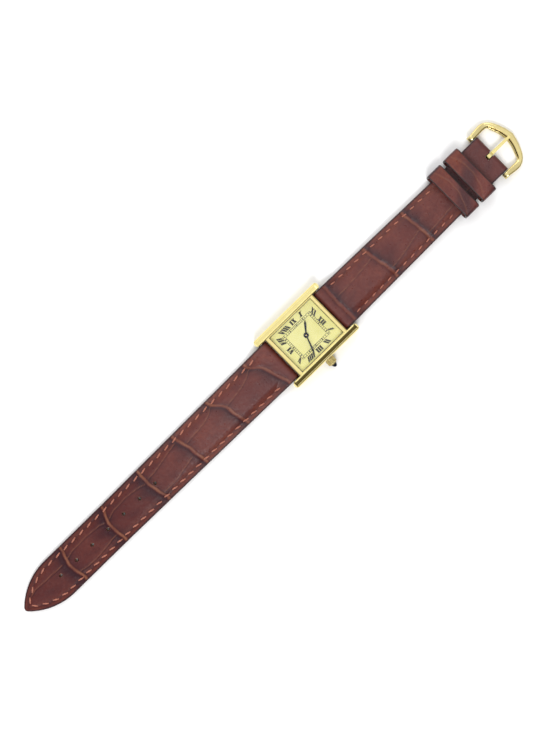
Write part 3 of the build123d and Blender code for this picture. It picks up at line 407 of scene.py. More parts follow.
def skin(name, shells, materials, body, edges=(), closed=False, sharp=40):
    """A piece whose skin runs over rings of points in millimetres, shell by shell.

    Each shell is an array of rings. The columns in edges take the second
    material. An open shell is capped at both ends."""
    points, faces, finishes = [], [], []
    for rings in shells:
        rings = np.asarray(rings, float)
        count, around = rings.shape[:2]
        base = sum(len(p) for p in points)
        points.append(rings.reshape(-1, 3) * mm)
        spans = count if closed else count - 1
        for i in range(spans):
            here, there = base + i * around, base + (i + 1) % count * around
            for j in range(around):
                k = (j + 1) % around
                faces.append((here + j, here + k, there + k, there + j))
                finishes.append(1 if j in edges else 0)
        if not closed:
            faces.append(tuple(range(base + around - 1, base - 1, -1)))
            last = base + (count - 1) * around
            faces.append(tuple(range(last, last + around)))
            finishes += [1 if edges else 0] * 2
    mesh = bpy.data.meshes.new(name)
    mesh.from_pydata(np.concatenate(points).tolist(), [], faces)
    mesh.polygons.foreach_set("material_index", finishes)
    for material in materials:
        mesh.materials.append(material)
    work = bmesh.new()
    work.from_mesh(mesh)
    bmesh.ops.recalc_face_normals(work, faces=work.faces)
    work.to_mesh(mesh)
    work.free()
    piece = bpy.data.objects.new(name, mesh)
    bpy.context.collection.objects.link(piece)
    soften(piece, sharp)
    if body:
        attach(piece, body)
    return piece


def soften(piece, sharp):
    """Shades a piece smooth, with an edge wherever it turns by more than sharp."""
    count = len(piece.data.polygons)
    piece.data.polygons.foreach_set("use_smooth", np.ones(count, bool))
    piece.data.set_sharp_from_angle(angle=radians(sharp))


ink_black = (0.006, 0.006, 0.006, 1)
ink_brown = (0.022, 0.018, 0.012, 1)
print_ink = mottled("print_ink", 0.45, ink_black, ink_brown, 5000, 9000, 2e-6)
dial_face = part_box("dial")[1].z / mm
ink_height = 0.012


def printed(corners):
    """A printed shape of four corners, standing on the dial."""
    levels = (dial_face, dial_face + ink_height)
    return [[(x, y, z) for x, y in corners] for z in levels]


def stroke(x0, y0, x1, y1, width):
    """A printed line from point to point."""
    run = np.array([x1 - x0, y1 - y0])
    side = np.array([-run[1], run[0]]) / np.hypot(*run) * width / 2
    start, stop = np.array([x0, y0]), np.array([x1, y1])
    return printed([start + side, stop + side, stop - side, start - side])


# The minute track is two lines round the dial with a bar at each minute
track_outer_x, track_outer_y = 4.85, 6.05
track_inner_x, track_inner_y = 4.075, 5.225
track_line = 0.11
minute_bar = 0.15
hour_bar = 0.34
track = []
for half_x, half_y in (
    (track_outer_x, track_outer_y),
    (track_inner_x, track_inner_y),
):
    for side in (-1, 1):
        track.append(stroke(-half_x, side * half_y, half_x, side * half_y, track_line))
        track.append(stroke(side * half_x, -half_y, side * half_x, half_y, track_line))
for minute in range(60):
    turn = 2 * pi * minute / 60
    over_x, over_y = sin(turn), cos(turn)
    width = hour_bar if minute % 5 == 0 else minute_bar
    reach = min(
        track_outer_x / max(abs(over_x), 1e-9), track_outer_y / max(abs(over_y), 1e-9)
    )
    x, y = over_x * reach, over_y * reach
    if abs(y) > track_outer_y - 1e-6:
        if abs(x) < track_outer_x - hour_bar:
            track.append(stroke(x, y, x, np.sign(y) * track_inner_y, width))
    elif abs(y) < track_outer_y - hour_bar:
        track.append(stroke(x, y, np.sign(x) * track_inner_x, y, width))
skin("minute_track", track, [print_ink], "case")

# Each numeral leans with its hour's ray, between two lines along the dial's side
numeral_words = "XII I II III IIII V VI VII VIII IX X XI".split()
numeral_places = [
    (0.12, 6.83),
    (4.06, 7.05),
    (6.03, 3.45),
    (6.09, 0.0),
    (6.09, -3.63),
    (4.3, -7.05),
    (0.06, -7.05),
    (-4.0, -7.05),
    (-6.0, -3.9),
    (-6.05, 0.0),
    (-6.1, 3.38),
    (-3.88, 6.95),
]
numeral_height = 1.62
thick_stroke = 0.62
thin_stroke = 0.26
serif_height = 0.07
serif_reach = 0.07
letter_width = {"I": thick_stroke, "V": 1.2, "X": 1.2}
letter_gap = 0.14


def letter_strokes(letter, start):
    """The strokes of a roman letter as four corners, in its own upright frame."""
    width, tall = letter_width[letter], numeral_height
    heavy, light = thick_stroke, thin_stroke

    def bar(low, high, weight):
        return [
            (start + low, 0),
            (start + low + weight, 0),
            (start + high + weight, tall),
            (start + high, tall),
        ]

    def serif(middle, weight, level):
        half = weight / 2 + serif_reach
        return [
            (start + middle - half, level),
            (start + middle + half, level),
            (start + middle + half, level + serif_height),
            (start + middle - half, level + serif_height),
        ]

    if letter == "I":
        shapes = [bar(0, 0, heavy)]
        feet = [(heavy / 2, heavy, 0), (heavy / 2, heavy, 1)]
    elif letter == "V":
        foot = width / 2 - heavy / 2
        shapes = [bar(foot, 0, heavy), bar(foot + heavy / 2, width - light, light)]
        feet = [(heavy / 2, heavy, 1), (width - light / 2, light, 1)]
    else:
        shapes = [bar(width - heavy, 0, heavy), bar(0, width - light, light)]
        feet = [(heavy / 2, heavy, 1), (width - light / 2, light, 1)]
        feet += [(width - heavy / 2, heavy, 0), (light / 2, light, 0)]
    top = tall - serif_height
    return shapes + [serif(mid, weight, high * top) for mid, weight, high in feet]


for hour, (word, (x, y)) in enumerate(zip(numeral_words, numeral_places)):
    upright = abs(y) > abs(x) * track_outer_y / track_outer_x
    out = np.array([0, np.sign(y)]) if upright else np.array([np.sign(x), 0])
    right = np.array([out[1], -out[0]])
    turn = 2 * pi * hour / 12
    ray = np.array([sin(turn), cos(turn)])
    lean = (ray @ right) / (ray @ out)
    widths = [letter_width[letter] for letter in word]
    start = -(sum(widths) + letter_gap * (len(word) - 1)) / 2
    shapes = []
    for letter, width in zip(word, widths):
        for corners in letter_strokes(letter, start):
            placed = []
            for across, up in corners:
                rise = up - numeral_height / 2
                spot = np.array([x, y]) + right * (across + lean * rise) + out * rise
                placed.append(spot)
            shapes.append(printed(placed))
        start += width + letter_gap
    skin(f"numeral_{hour or 12}", shapes, [print_ink], "case")


# Hands: steel swords, stamped, domed by polishing and blued in a flame until
# they look almost black. They are pressed on the hour tube and the cannon.
blue_black = (0.010, 0.013, 0.018, 1)
blue_flame = (0.014, 0.026, 0.052, 1)
blued_steel, tree, sockets, place = finish_of("blued_steel", 0.24, 0.75)
flame = ranged(tree, speckle(tree, place, 900), 0.0, 1.0)
tint(tree, sockets, flame, blue_black, blue_flame)
relief(tree, sockets, speckle(tree, place, 4000), 1e-6)
dress(blued_steel, "hour_hand", "minute_hand")


# Crystal: a flat plate of mineral glass, ground, bevelled at its upper edge and
# pressed into its gasket above the dial.
crystal_glass, tree, sockets, place = finish_of("crystal_glass", 0.0)
feed(tree, sockets["Base Color"], (0.99, 1.0, 0.995, 1))
feed(tree, sockets["Transmission Weight"], 1.0)
feed(tree, sockets["IOR"], 1.5)
feed(tree, sockets["Alpha"], 0.35)
smear = speckle(tree, place, 350)
feed(tree, sockets["Roughness"], ranged(tree, smear, 0.0, 0.015))
dress(crystal_glass, "crystal")


# Crown: turned from gilt brass with a fluted rim, screwed to the stem, with a
# polished cabochon of dark blue spinel set in its collar.
crown_bright = (0.80, 0.68, 0.32, 1)
crown_dull = (0.34, 0.26, 0.09, 1)
crown_gilt = metal("crown_gilt", crown_bright, crown_dull, 0.12, 0.3, 1500)
dress(crown_gilt, "crown")
spinel_dark = (0.003, 0.005, 0.010, 1)
spinel_blue = (0.004, 0.007, 0.020, 1)
cabochon_spinel, tree, sockets, place = finish_of("cabochon_spinel", 0.04)
tint(tree, sockets, speckle(tree, place, 700), spinel_dark, spinel_blue)
feed(tree, sockets["IOR"], 1.5)
dress(cabochon_spinel, "crown_cabochon")


# Spring bars: a steel sleeve over a spring and two sliding tips. One holds each
# strap half in the lugs, and a third holds the buckle.
dress(
    drawn_steel,
    *(
        f"{bar}_{piece}"
        for bar in ("spring_bar_12", "spring_bar_6", "buckle_bar")
        for piece in ("sleeve", "spring", "tip_left", "tip_right")
    ),
)


# Strap: two halves of calf leather, pressed with crocodile scales and rubbed so
# that the creases are pale, with painted shade darkening the scales beside them.
# Each half wraps round its bar over a felt pad, is lined, sewn, and has its cut
# edges painted.
leather_warm = (0.155, 0.037, 0.026, 1)
leather_deep = (0.092, 0.018, 0.016, 1)
leather_rust = (0.160, 0.033, 0.014, 1)
leather_tan = (0.225, 0.085, 0.046, 1)
leather_plum = (0.026, 0.007, 0.012, 1)
strap_leather, tree, sockets, place = finish_of("strap_leather", 0.38)
rubbed, shaded, rusty = (
    add_node(tree, "ShaderNodeAttribute", "Fac", {"attribute_name": word})
    for word in ("pale", "dark", "rust")
)
blotches = ranged(tree, speckle(tree, place, 130, 4.0), 0.0, 1.0)
grain_dots = ranged(tree, speckle(tree, place, 1000, 3.0), 0.0, 0.75)
hide = mixed(tree, blotches, leather_warm, leather_deep)
hide = mixed(tree, ranged(tree, rusty, 0.0, 0.9, 0.0, 1.0), hide, leather_rust)
hide = mixed(tree, grain_dots, hide, leather_deep)
# The dark attribute mixes in plum: edge paint, random patches and a darker tail, with
# painted shade beside the creases and lines, along the seams and by the keepers
hide = mixed(tree, ranged(tree, shaded, 0.0, 0.9, 0.0, 1.0), hide, leather_plum)
hide = mixed(tree, ranged(tree, rubbed, 0.0, 0.8, 0.0, 1.0), hide, leather_tan)
feed(tree, sockets["Base Color"], hide)
dull_from, dull_to = -40 * mm, -85 * mm
walk = add_node(tree, "ShaderNodeSeparateXYZ", "Y", Vector=place)
sheen = ranged(tree, walk, 0.12, 0.34, dull_to, dull_from)
feed(tree, sockets["Specular IOR Level"], sheen)
patches = speckle(tree, place, 900, 3.0)
feed(tree, sockets["Roughness"], ranged(tree, patches, 0.26, 0.42))


def pores(tree, place, scale, wall):
    """The hide's pores: flat between them, falling to each from its wall."""
    edges = add_node(
        tree,
        "ShaderNodeTexVoronoi",
        "Distance",
        {"feature": "DISTANCE_TO_EDGE"},
        Vector=place,
        Scale=scale,
    )
    return ranged(tree, edges, 0.0, 1.0, 0.0, wall)


coarse = relief(tree, sockets, speckle(tree, place, 1100, 3.0), 9e-5)
relief(tree, sockets, pores(tree, place, 2600.0, 0.12), 1.8e-5, coarse)

paint_dark = (0.014, 0.006, 0.006, 1)
paint_worn = (0.03, 0.011, 0.010, 1)
edge_paint = mottled("edge_paint", 0.45, paint_dark, paint_worn, 800, 2500, 2.5e-5)

lining_tan = (0.33, 0.17, 0.10, 1)
lining_brown = (0.24, 0.115, 0.066, 1)
lining_leather, tree, sockets, place = finish_of("lining_leather", 0.58)
clouds = ranged(tree, speckle(tree, place, 240, 4.0), 0.0, 1.0)
tint(tree, sockets, clouds, lining_tan, lining_brown)
relief(tree, sockets, pores(tree, place, 3300.0, 0.14), 2e-5)

felt_grey = (0.35, 0.33, 0.30, 1)
felt_pale = (0.5, 0.48, 0.44, 1)
padding_felt, tree, sockets, place = finish_of("padding_felt", 0.9)
tint(tree, sockets, speckle(tree, place, 2500, 4.0), felt_grey, felt_pale)
relief(tree, sockets, speckle(tree, place, 6000, 4.0), 6e-5)

bar_place, bar_level, loop_radius = 12.35, 1.9, 1.65
buckle_bar_place, buckle_bar_level, buckle_loop_radius = 82.15, 2.4, 1.45
bore_radius = 0.83
lug_half_width = 7.8
end_half_width = 7.1
loop_end = 15.85
lining_thickness = 0.6
skin_thickness = 0.7
pad_inset = 2.3
edge_round = 0.4
tip_start = 110.7
tip_length = 126.1
tip_bend = 21.4
nose_start = 125.55
nose_radius = 1.375


def ease(value, low, high):
    """A smooth step from 0 at low to 1 at high."""
    share = np.clip((value - low) / (high - low), 0, 1)
    return share * share * (3 - 2 * share)


# Distances run along each half from the case's middle. A crease is given by its
# distance at places across the strap, and a line by its place at distances.
half_12 = {
    "name": "strap_12",
    "side": 1,
    "stitch": (1.9, 0.2),
    "start": bar_place - loop_radius,
    "stop": buckle_bar_place + buckle_loop_radius,
    "under": [(bar_place, 0.25), (20, 0.125), (45, 0.95), (buckle_bar_place, 0.95)],
    "over": [
        (bar_place, 3.55),
        (20, 3.5),
        (62, 3.25),
        (77.8, 3.25),
        (buckle_bar_place, 3.85),
    ],
    "width": [(loop_end, lug_half_width), (62, end_half_width)],
    "pad": (16.0, 60.0),
    "lining": (loop_end, 80.55),
    "wear": (0.25, 0.4, 0.55),
    "creases": [
        [(-7.5, 14.9), (0, 14.6), (7.5, 14.9)],
        [(-6.1, 32.4), (-3.9, 32.7), (-1.1, 33.2), (2, 34.0), (5.8, 34.4)],
        [(-5.2, 49.3), (0, 50.0), (4.1, 50.4)],
    ],
    "lines": [
        [(15.8, -1.7), (19, -1.9), (24, -2.2), (28, -2.6), (31.8, -3.0)],
        [(35.4, 3.7), (40, 3.2), (45, 2.1), (49.2, 1.2)],
        [(51.3, 4.0), (57.5, 3.5), (63.4, 3.0), (74, 2.8)],
    ],
}
half_6 = {
    "name": "strap_6",
    "side": -1,
    "stitch": (2.3, 0.24),
    "start": bar_place - loop_radius,
    "stop": tip_length - 0.02,
    "under": [(bar_place, 0.25), (20, 0), (tip_length, 0)],
    "over": [(bar_place, 3.55), (20, 3.5), (85, 2.1), (tip_length, 1.7)],
    "width": [(loop_end, lug_half_width), (85, end_half_width)],
    "pad": (16.0, 88.0),
    "lining": (loop_end, tip_length - 0.02),
    "wear": (0.45, 0.6, 0.7, 0.8, 0.85, 0.85),
    "creases": [
        [(-7.5, 21.2), (-5.2, 20.6), (-3, 17.7), (0, 16.4), (2.7, 15.8), (6.1, 14.3)],
        [(-7.3, 38.3), (-5.2, 37.6), (-3, 35.2), (-1.4, 34.3), (2.3, 33.9), (7.3, 32.7)],
        [(-6.3, 53.6), (-4.5, 53.1), (-0.5, 51.9), (2.9, 51.6), (6.6, 51.0)],
        [(-6.3, 69.4), (-2, 69.5), (-0.5, 69.4), (3.5, 68.6), (6, 67.9)],
        [(-7, 85.3), (-4.6, 86.1), (-1.8, 87.5), (1.3, 87.6), (4.4, 87.2), (7, 87.0)],
        [(-6.5, 104.1), (-4.3, 104.7), (-1.2, 105.8), (1.9, 105.8), (4.4, 105), (7, 105)],
    ],
    "lines": [
        [(20.8, -5.1), (23, -3.75), (25.8, -2.7), (30.2, -2.0), (33.8, -1.6)],
        [(38.2, -5.2), (39.6, -3.9), (43, -2.8), (47, -2.4), (51.2, -2.1)],
        [(53.4, 2.4), (56.4, 2.9), (61.9, 4.0), (67.6, 4.2)],
        [(54.5, -4.7), (58, -4.1), (64, -2.9), (68.6, -2.4)],
        [(70.4, -2.0), (72, -2.6), (78, -3.4), (84, -3.0), (86.4, -2.0)],
        [(88.2, -2.0), (89.8, -2.8), (96, -3.3), (102, -3.1), (104.8, -2.4)],
        [(88.2, 3.1), (92, 3.5), (97, 4.1), (102, 4.0), (104.6, 3.3)],
        [(107.6, -2.0), (114, -2.2), (119.5, -2.4), (121.4, -1.8)],
    ],
}


def along(points, place):
    """A value given at points, smoothly taken to any place between them."""
    known, values = np.array(points, float).T
    fine = np.linspace(known[0], known[-1], 81)
    rough = np.interp(fine, known, values)
    window = np.ones(9) / 9
    smooth = np.convolve(np.pad(rough, 4, "edge"), window, "valid")
    return np.interp(place, fine, smooth)


def half_width(half, place):
    """Half the strap's width at distances along it."""
    known, values = np.array(half["width"], float).T
    width = np.interp(place, known, values)
    if half["side"] > 0:
        return width
    arc = np.sqrt(np.maximum(tip_bend**2 - (place - tip_start) ** 2, 0))
    width = np.where(place > tip_start, end_half_width - tip_bend + arc, width)
    nose_middle = tip_length - nose_radius
    nose = np.sqrt(np.maximum(nose_radius**2 - (place - nose_middle) ** 2, 0))
    return np.where(place > nose_start, nose, width)


def shade_points(piece, **shares):
    """Gives each point of a piece its share of each shade."""
    for word, values in shares.items():
        layer = piece.data.attributes.new(word, "FLOAT", "POINT")
        layer.data.foreach_set("value", np.asarray(values, np.float32).ravel())


def levels(half, place):
    """The strap's lowest and highest level along its middle."""
    low = np.interp(place, *np.array(half["under"], float).T)
    high = np.interp(place, *np.array(half["over"], float).T)
    ends = [(bar_place, bar_level, loop_radius, -1)]
    if half["side"] > 0:
        ends.append((buckle_bar_place, buckle_bar_level, buckle_loop_radius, 1))
    for middle, level, radius, way in ends:
        past = np.maximum(way * (place - middle), 0)
        rise = np.sqrt(np.maximum(radius**2 - past**2, 1e-4))
        low = np.where(past > 0, level - rise, low)
        high = np.where(past > 0, level + rise, high)
    return low, high


def pressing(half, across, place):
    """The pressed scales: their height, how pale the leather is, and how dark with painted
    shade beside the creases and lines.
    """
    height = np.zeros_like(across + place)
    pale, dark = height.copy(), height.copy()
    ripple = 0.07 * np.sin(across * 1.7 + place) + 0.03 * np.sin(across * 5.3 - place)
    for crease, wear in zip(half["creases"], half["wear"]):
        past = place - along(crease, across) + ripple
        valley = 1 - ease(np.abs(past), 0.3, 0.9)
        height -= 0.24 * valley + 0.1 * np.exp(-np.abs(past) / 1.8)
        height += 0.05 * np.exp(-(((past - 1.3) / 0.5) ** 2))
        worn = wear * (1 + 0.35 * np.sin(across * 0.9 + crease[0][1]))
        pale += (1 - ease(np.abs(past + 0.15), 0.12, 0.6)) * worn
        # Painted shade: the leather darkens on both sides of each crease, where shade
        # falls off the scales
        dark += ease(past, 0.25, 0.8) * np.exp(-np.maximum(past - 0.8, 0) / 2.1)
        dark += 0.45 * ease(-past, 0.3, 0.7) * np.exp(np.minimum(past + 0.7, 0) / 1.1)
        beside = ease(past, 0.5, 1.1) * (1 - ease(past, 2.0, 3.6))
        wrinkle = np.sin(across * 4.9 + 1.4 * np.sin(across * 1.7 + place * 0.6))
        height -= 0.045 * beside * ease(wrinkle, 0.2, 1.0)
    for line in half["lines"]:
        start, stop = line[0][0], line[-1][0]
        inside = ease(place, start - 0.6, start + 0.4)
        inside = inside * (1 - ease(place, stop - 0.4, stop + 0.6))
        off = across - along(line, place) + 0.4 * ripple
        height -= 0.1 * inside * np.exp(-((off / 0.2) ** 2))
        height += 0.035 * inside * np.exp(-(((off - 0.38) / 0.22) ** 2))
        pale += 0.6 * inside * np.exp(-(((off + 0.05) / 0.13) ** 2))
        # Painted shade beside each line's groove
        dark += 0.4 * inside * np.exp(-(((off - 0.3) / 0.25) ** 2))
    swell = np.sin(across * 0.9 + place * 0.31) * np.sin(place * 0.47 - across * 0.35)
    height += 0.035 * swell + 0.012 * np.sin(across * 3.3 + 2 * np.sin(place * 1.9))
    return height, np.clip(pale, 0, 1), np.clip(dark, 0, 1)


def upper_face(half, across, place):
    """The leather's upper face before pressing, padded inside the seams."""
    low, high = levels(half, place)
    rim = np.minimum(high - 0.15, low + lining_thickness + 1.25)
    inset = half_width(half, place) - np.abs(across)
    flat = 1 - ease(place, 14.0, 21.0)
    if half["side"] > 0:
        flat = np.maximum(flat, ease(place, 66.0, 78.0))
    crown = np.maximum(0.8 * ease(inset, 1.2, 4.0) + 0.2 * ease(inset, 2, 8), flat)
    bend = 1 - np.clip(inset / edge_round, 0, 1)
    return rim + (high - rim) * crown - edge_round * (1 - np.sqrt(1 - bend**2)) * 0.8


seam_inset = 1.78


def leather_face(half, across, place):
    """The finished upper face and how pale, dark and rusty it is; the dark holds edge
    paint, random patches and a darker tail, and painted shade by the creases, the seam and
    the keepers.
    """
    face = upper_face(half, across, place)
    height, pale, dark = pressing(half, across, place)
    inset = half_width(half, place) - np.abs(across)
    low, high = levels(half, place)
    fade = ease(place, 12.6, 13.8) * ease(inset, 0.1, 0.6)
    if half["side"] > 0:
        fade = fade * (1 - ease(place, 79.5, 81.5))
    sewn = ease(place, 15.0, 16.0)
    if half["side"] > 0:
        sewn = sewn * (1 - ease(place, 62, 64))
    gutter = 0.09 * np.exp(-(((inset - seam_inset) / 0.42) ** 2)) * sewn
    face = face + (height - gutter) * fade
    rim_dark = 1 - ease(inset, 0.25, 0.7)
    # Painted shade: the buckle half darkens under and between the keepers; the other half
    # grows darker towards the tail
    if half["side"] > 0:
        keeper_shade_and_tail_dark = 0.22 * ease(place, 60, 66)
        keeper_shade_and_tail_dark = keeper_shade_and_tail_dark + 0.5 * ease(place, 66, 68.4) * (1 - ease(place, 70, 71.5))
    else:
        keeper_shade_and_tail_dark = 0.34 * ease(place, 50, 72)
    # Painted shade along the seam's gutter, under the thread
    stitched = 0.3 * np.exp(-(((inset - seam_inset) / 0.5) ** 2)) * sewn
    swing = 0.2 * np.sin(place * 0.53 + across * 0.21) * np.sin(place * 0.19 + across)
    rust = sewn * (1 - ease(inset, 1.9, 3.6)) * (0.85 + swing)
    dark = dark * fade + rim_dark + stitched + keeper_shade_and_tail_dark + np.maximum(swing, 0)
    return face, pale * fade, np.clip(dark, 0, 1), np.clip(rust, 0, 1)


def stations(half, step):
    """Distances along a half, closer together round its ends."""
    start, stop = half["start"], half["stop"]
    turns = 1 - np.cos(np.linspace(0, pi / 2, 9))
    lug = start + loop_radius * turns
    if half["side"] > 0:
        end = stop - buckle_loop_radius * turns[::-1]
    else:
        nose = nose_radius * turns[::-1]
        end = np.concatenate([np.linspace(120, 124.4, 15), stop - nose])
    middle = np.arange(lug[-1] + step, end[0] - step / 2, step)
    marks = [m + e for m in (*half["lining"], *half["pad"]) for e in (-0.02, 0.02)]
    every = np.concatenate([lug, middle, end, marks])
    return np.unique(np.round(every[(every >= start) & (every <= stop)], 3))


def block(across, place, low, high, side):
    """Rings round a half's cross-sections, from its low and high faces."""
    across, run, low, high = np.broadcast_arrays(across, side * place, low, high)
    top = np.stack([across, run, high], -1)
    bottom = np.stack([across, run, low], -1)
    return np.concatenate([top, bottom[:, ::-1]], 1)


def drum(x0, x1, place, level, radius, count=40):
    """Rings of a round rod along X."""
    turns = np.linspace(0, 2 * pi, count, endpoint=False)
    return [
        [(x, place + radius * cos(t), level + radius * sin(t)) for t in turns]
        for x in (x0, x1)
    ]


def pin(x, place, low, high, radius, count=28):
    """Rings of a round rod along Z."""
    turns = np.linspace(0, 2 * pi, count, endpoint=False)
    return [
        [(x + radius * cos(t), place + radius * sin(t), z) for t in turns]
        for z in (low, high)
    ]


def cut(piece, shells, material):
    """Cuts holes of the shells' shape out of a piece, walled in a material."""
    tool = skin("cutter", shells, [material], None)
    change = piece.modifiers.new("holes", "BOOLEAN")
    change.operation = "DIFFERENCE"
    change.solver = "EXACT"
    change.material_mode = "TRANSFER"
    change.object = tool
    bpy.context.view_layer.update()
    graph = bpy.context.evaluated_depsgraph_get()
    mesh = bpy.data.meshes.new_from_object(piece.evaluated_get(graph))
    old = piece.data
    piece.modifiers.clear()
    piece.data = mesh
    mesh.name = old.name
    bpy.data.meshes.remove(old)
    bpy.data.objects.remove(tool)
    soften(piece, 40)


# The punched holes have closed up in the lining
hole_first, hole_pitch, hole_count = 67.7, 7.05, 7
hole_radius = 0.65
closed_radius = 0.3
below_strap, above_strap = -1, 5
holes = [hole_first + hole_pitch * number for number in range(hole_count)]
hole_pins, closed_holes = (
    [pin(0, -place, below_strap, above_strap, radius) for place in holes]
    for radius in (hole_radius, closed_radius)
)
columns = np.linspace(-1, 1, 61)
columns = columns * (1.25 - 0.25 * columns**2)
column_count = len(columns)
strap_edges = {0, column_count - 2, column_count - 1, 2 * column_count - 1}
station_step = 0.3
pad_gap, pad_side_gap, lining_gap = 0.02, 0.05, 0.01
skin_least, pad_least = 0.02, 0.03
over_pad = skin_thickness + 0.2


def build_half(half, body, bores, punched):
    """One half of the strap: leather, lining and pad, each its own piece."""
    name, side = half["name"], half["side"]
    place = stations(half, station_step)[:, None]
    width = half_width(half, place)
    across = columns[None, :] * width
    high, *shades = leather_face(half, across, place)
    low = levels(half, place)[0] + np.zeros_like(across)
    line_start, line_stop = half["lining"]
    lined = (place > line_start) & (place < line_stop)
    low = np.where(lined, low + lining_thickness, low)
    pad_start, pad_stop = half["pad"]
    taper = np.array([(pad_start, lug_half_width), (pad_stop, end_half_width)]).T
    pad_half = np.interp(place, *taper) - pad_inset
    padded = (place > pad_start) & (place < pad_stop) & (np.abs(across) < pad_half)
    ceiling = upper_face(half, across, place) - over_pad
    low = np.where(padded, np.maximum(ceiling, low), low)
    high = np.maximum(high, low + skin_least)
    rings = block(across, place, low, high, side)
    leather = skin(
        f"{name}_hide",
        [rings],
        [strap_leather, edge_paint],
        body,
        strap_edges,
    )
    pale, dark, rust = (
        np.concatenate([shade, np.zeros_like(shade)], 1) for shade in shades
    )
    shade_points(leather, pale=pale, dark=dark, rust=rust)
    cut(leather, bores + punched, edge_paint)
    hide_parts(f"{name}_leather")

    place = place[(place > line_start) & (place < line_stop)][:, None]
    across = columns[None, ::3] * half_width(half, place)
    low = levels(half, place)[0]
    inset = half_width(half, place) - np.abs(across)
    bend = 0.25 * (1 - ease(inset, 0.0, 0.35))
    top = low + lining_thickness
    rings = block(across, place, low + bend, top - lining_gap, side)
    count = across.shape[1]
    lining = skin(
        f"{name}_lining_sheet",
        [rings],
        [lining_leather, edge_paint],
        body,
        {count - 1, 2 * count - 1},
    )
    if side < 0:
        cut(lining, closed_holes, edge_paint)
    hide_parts(f"{name}_lining")

    place = place[(place > pad_start) & (place < pad_stop)][:, None]
    pad_half = np.interp(place, *taper) - pad_inset - pad_side_gap
    across = np.linspace(-1, 1, 21)[None, :] * pad_half
    low = levels(half, place)[0] + lining_thickness
    high = upper_face(half, across, place) - over_pad - pad_gap
    high = np.maximum(high, low + pad_least)
    rings = block(across, place, low + lining_gap, high, side)
    pad = skin(f"{name}_pad", [rings], [padding_felt], body)
    if side < 0:
        cut(pad, punched, padding_felt)
    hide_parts(f"{name}_padding")


bore_end = 9
bar_bore_12, bar_bore_6, buckle_bore = (
    drum(-bore_end, bore_end, place, level, bore_radius)
    for place, level in (
        (bar_place, bar_level),
        (-bar_place, bar_level),
        (buckle_bar_place, buckle_bar_level),
    )
)
notch_half = 0.9
notch_start, notch_stop = 80.7, 85
notch_box = [
    [
        (-notch_half, notch_start, z),
        (notch_half, notch_start, z),
        (notch_half, notch_stop, z),
        (-notch_half, notch_stop, z),
    ]
    for z in (0, above_strap)
]
build_half(half_12, "strap_12", [bar_bore_12, buckle_bore], [notch_box])
build_half(half_6, "strap_6", [bar_bore_6], hole_pins)

# The seams: waxed linen thread of two plies, in saddle stitches through leather,
# pad edge and lining.
thread_light = (0.47, 0.165, 0.10, 1)
thread_deep = (0.24, 0.062, 0.036, 1)
seam_thread, tree, sockets, place = finish_of("seam_thread", 0.55)
tint(tree, sockets, speckle(tree, place, 1800, 3.0), thread_light, thread_deep)
relief(tree, sockets, speckle(tree, place, 7000, 2.0), 3e-5)
feed(tree, sockets["Sheen Weight"], 0.2)

seam_start, seam_end = 16.0, 61.6
stitch_pitch = 3.5
stitch_lean = radians(7)


def seam_path(half):
    """The seam as (across, place) points, on one side or right round the tip."""
    seam_stop = seam_end if half["side"] > 0 else tip_start
    straight = np.arange(seam_start, seam_stop, 0.05)
    edge = half_width(half, straight) - seam_inset
    if half["side"] > 0:
        return [np.stack([way * edge, straight], 1) for way in (1, -1)]
    reach = tip_bend - seam_inset
    middle = end_half_width - tip_bend
    span = np.arccos(-middle / reach)
    turns = np.linspace(0, span, 300)
    right = np.stack(
        [
            np.concatenate([edge, middle + reach * np.cos(turns)]),
            np.concatenate([straight, tip_start + reach * np.sin(turns)]),
        ],
        1,
    )
    left = right[::-1] * np.array([-1, 1])
    return [np.concatenate([right, left])]


def stitches(half, path):
    """The stitches of one seam, lying on the leather."""
    stitch_length, thread_radius = half["stitch"]
    steps = np.hypot(*np.diff(path, axis=0).T)
    run = np.concatenate([[0], np.cumsum(steps)])
    count = int((run[-1] - stitch_length) // stitch_pitch) + 1
    spare = (run[-1] - (count - 1) * stitch_pitch) / 2
    shells = []
    for number in range(count):
        middle = spare + number * stitch_pitch
        x, y = (np.interp(middle, run, path[:, k]) for k in (0, 1))
        x1, y1 = (np.interp(middle + 0.3, run, path[:, k]) for k in (0, 1))
        heading = np.array([x1 - x, y1 - y]) / np.hypot(x1 - x, y1 - y)
        lean = stitch_lean * (1 if half["side"] > 0 else 1.8) * np.sign(x or 1)
        turn = np.array([[cos(lean), -sin(lean)], [sin(lean), cos(lean)]])
        heading = turn @ heading
        side = np.array([-heading[1], heading[0]])
        rings = []
        for share in np.linspace(-1, 1, 13):
            spot = np.array([x, y]) + heading * share * stitch_length / 2
            sink = 0.34 * abs(share) ** 5
            level = leather_face(half, spot[0], spot[1])[0] + 0.1 - sink
            thick = thread_radius * (1 - 0.35 * abs(share) ** 3)
            ring = []
            for turn_share in np.linspace(0, 2 * pi, 12, endpoint=False):
                plies = 1 + 0.16 * cos(2 * (turn_share - 3.2 * share))
                out = thick * plies * cos(turn_share) * side
                rise = thick * plies * sin(turn_share) * 0.62
                ring.append((*((spot + out) * (1, half["side"])), level + rise))
            rings.append(ring)
        shells.append(rings)
    return shells


for half, body in ((half_12, "strap_12"), (half_6, "strap_6")):
    shells = []
    for path in seam_path(half):
        shells += stitches(half, path)
    skin(f"{body}_seam", shells, [seam_thread], body)


# Keepers: two bands of the same leather round the strap. The one by the buckle
# is sewn in place and the other slides along.
keeper_wall = 0.85
keeper_half_inner = 8.3
keeper_inner_height = 4.6
keeper_corner = 1.5


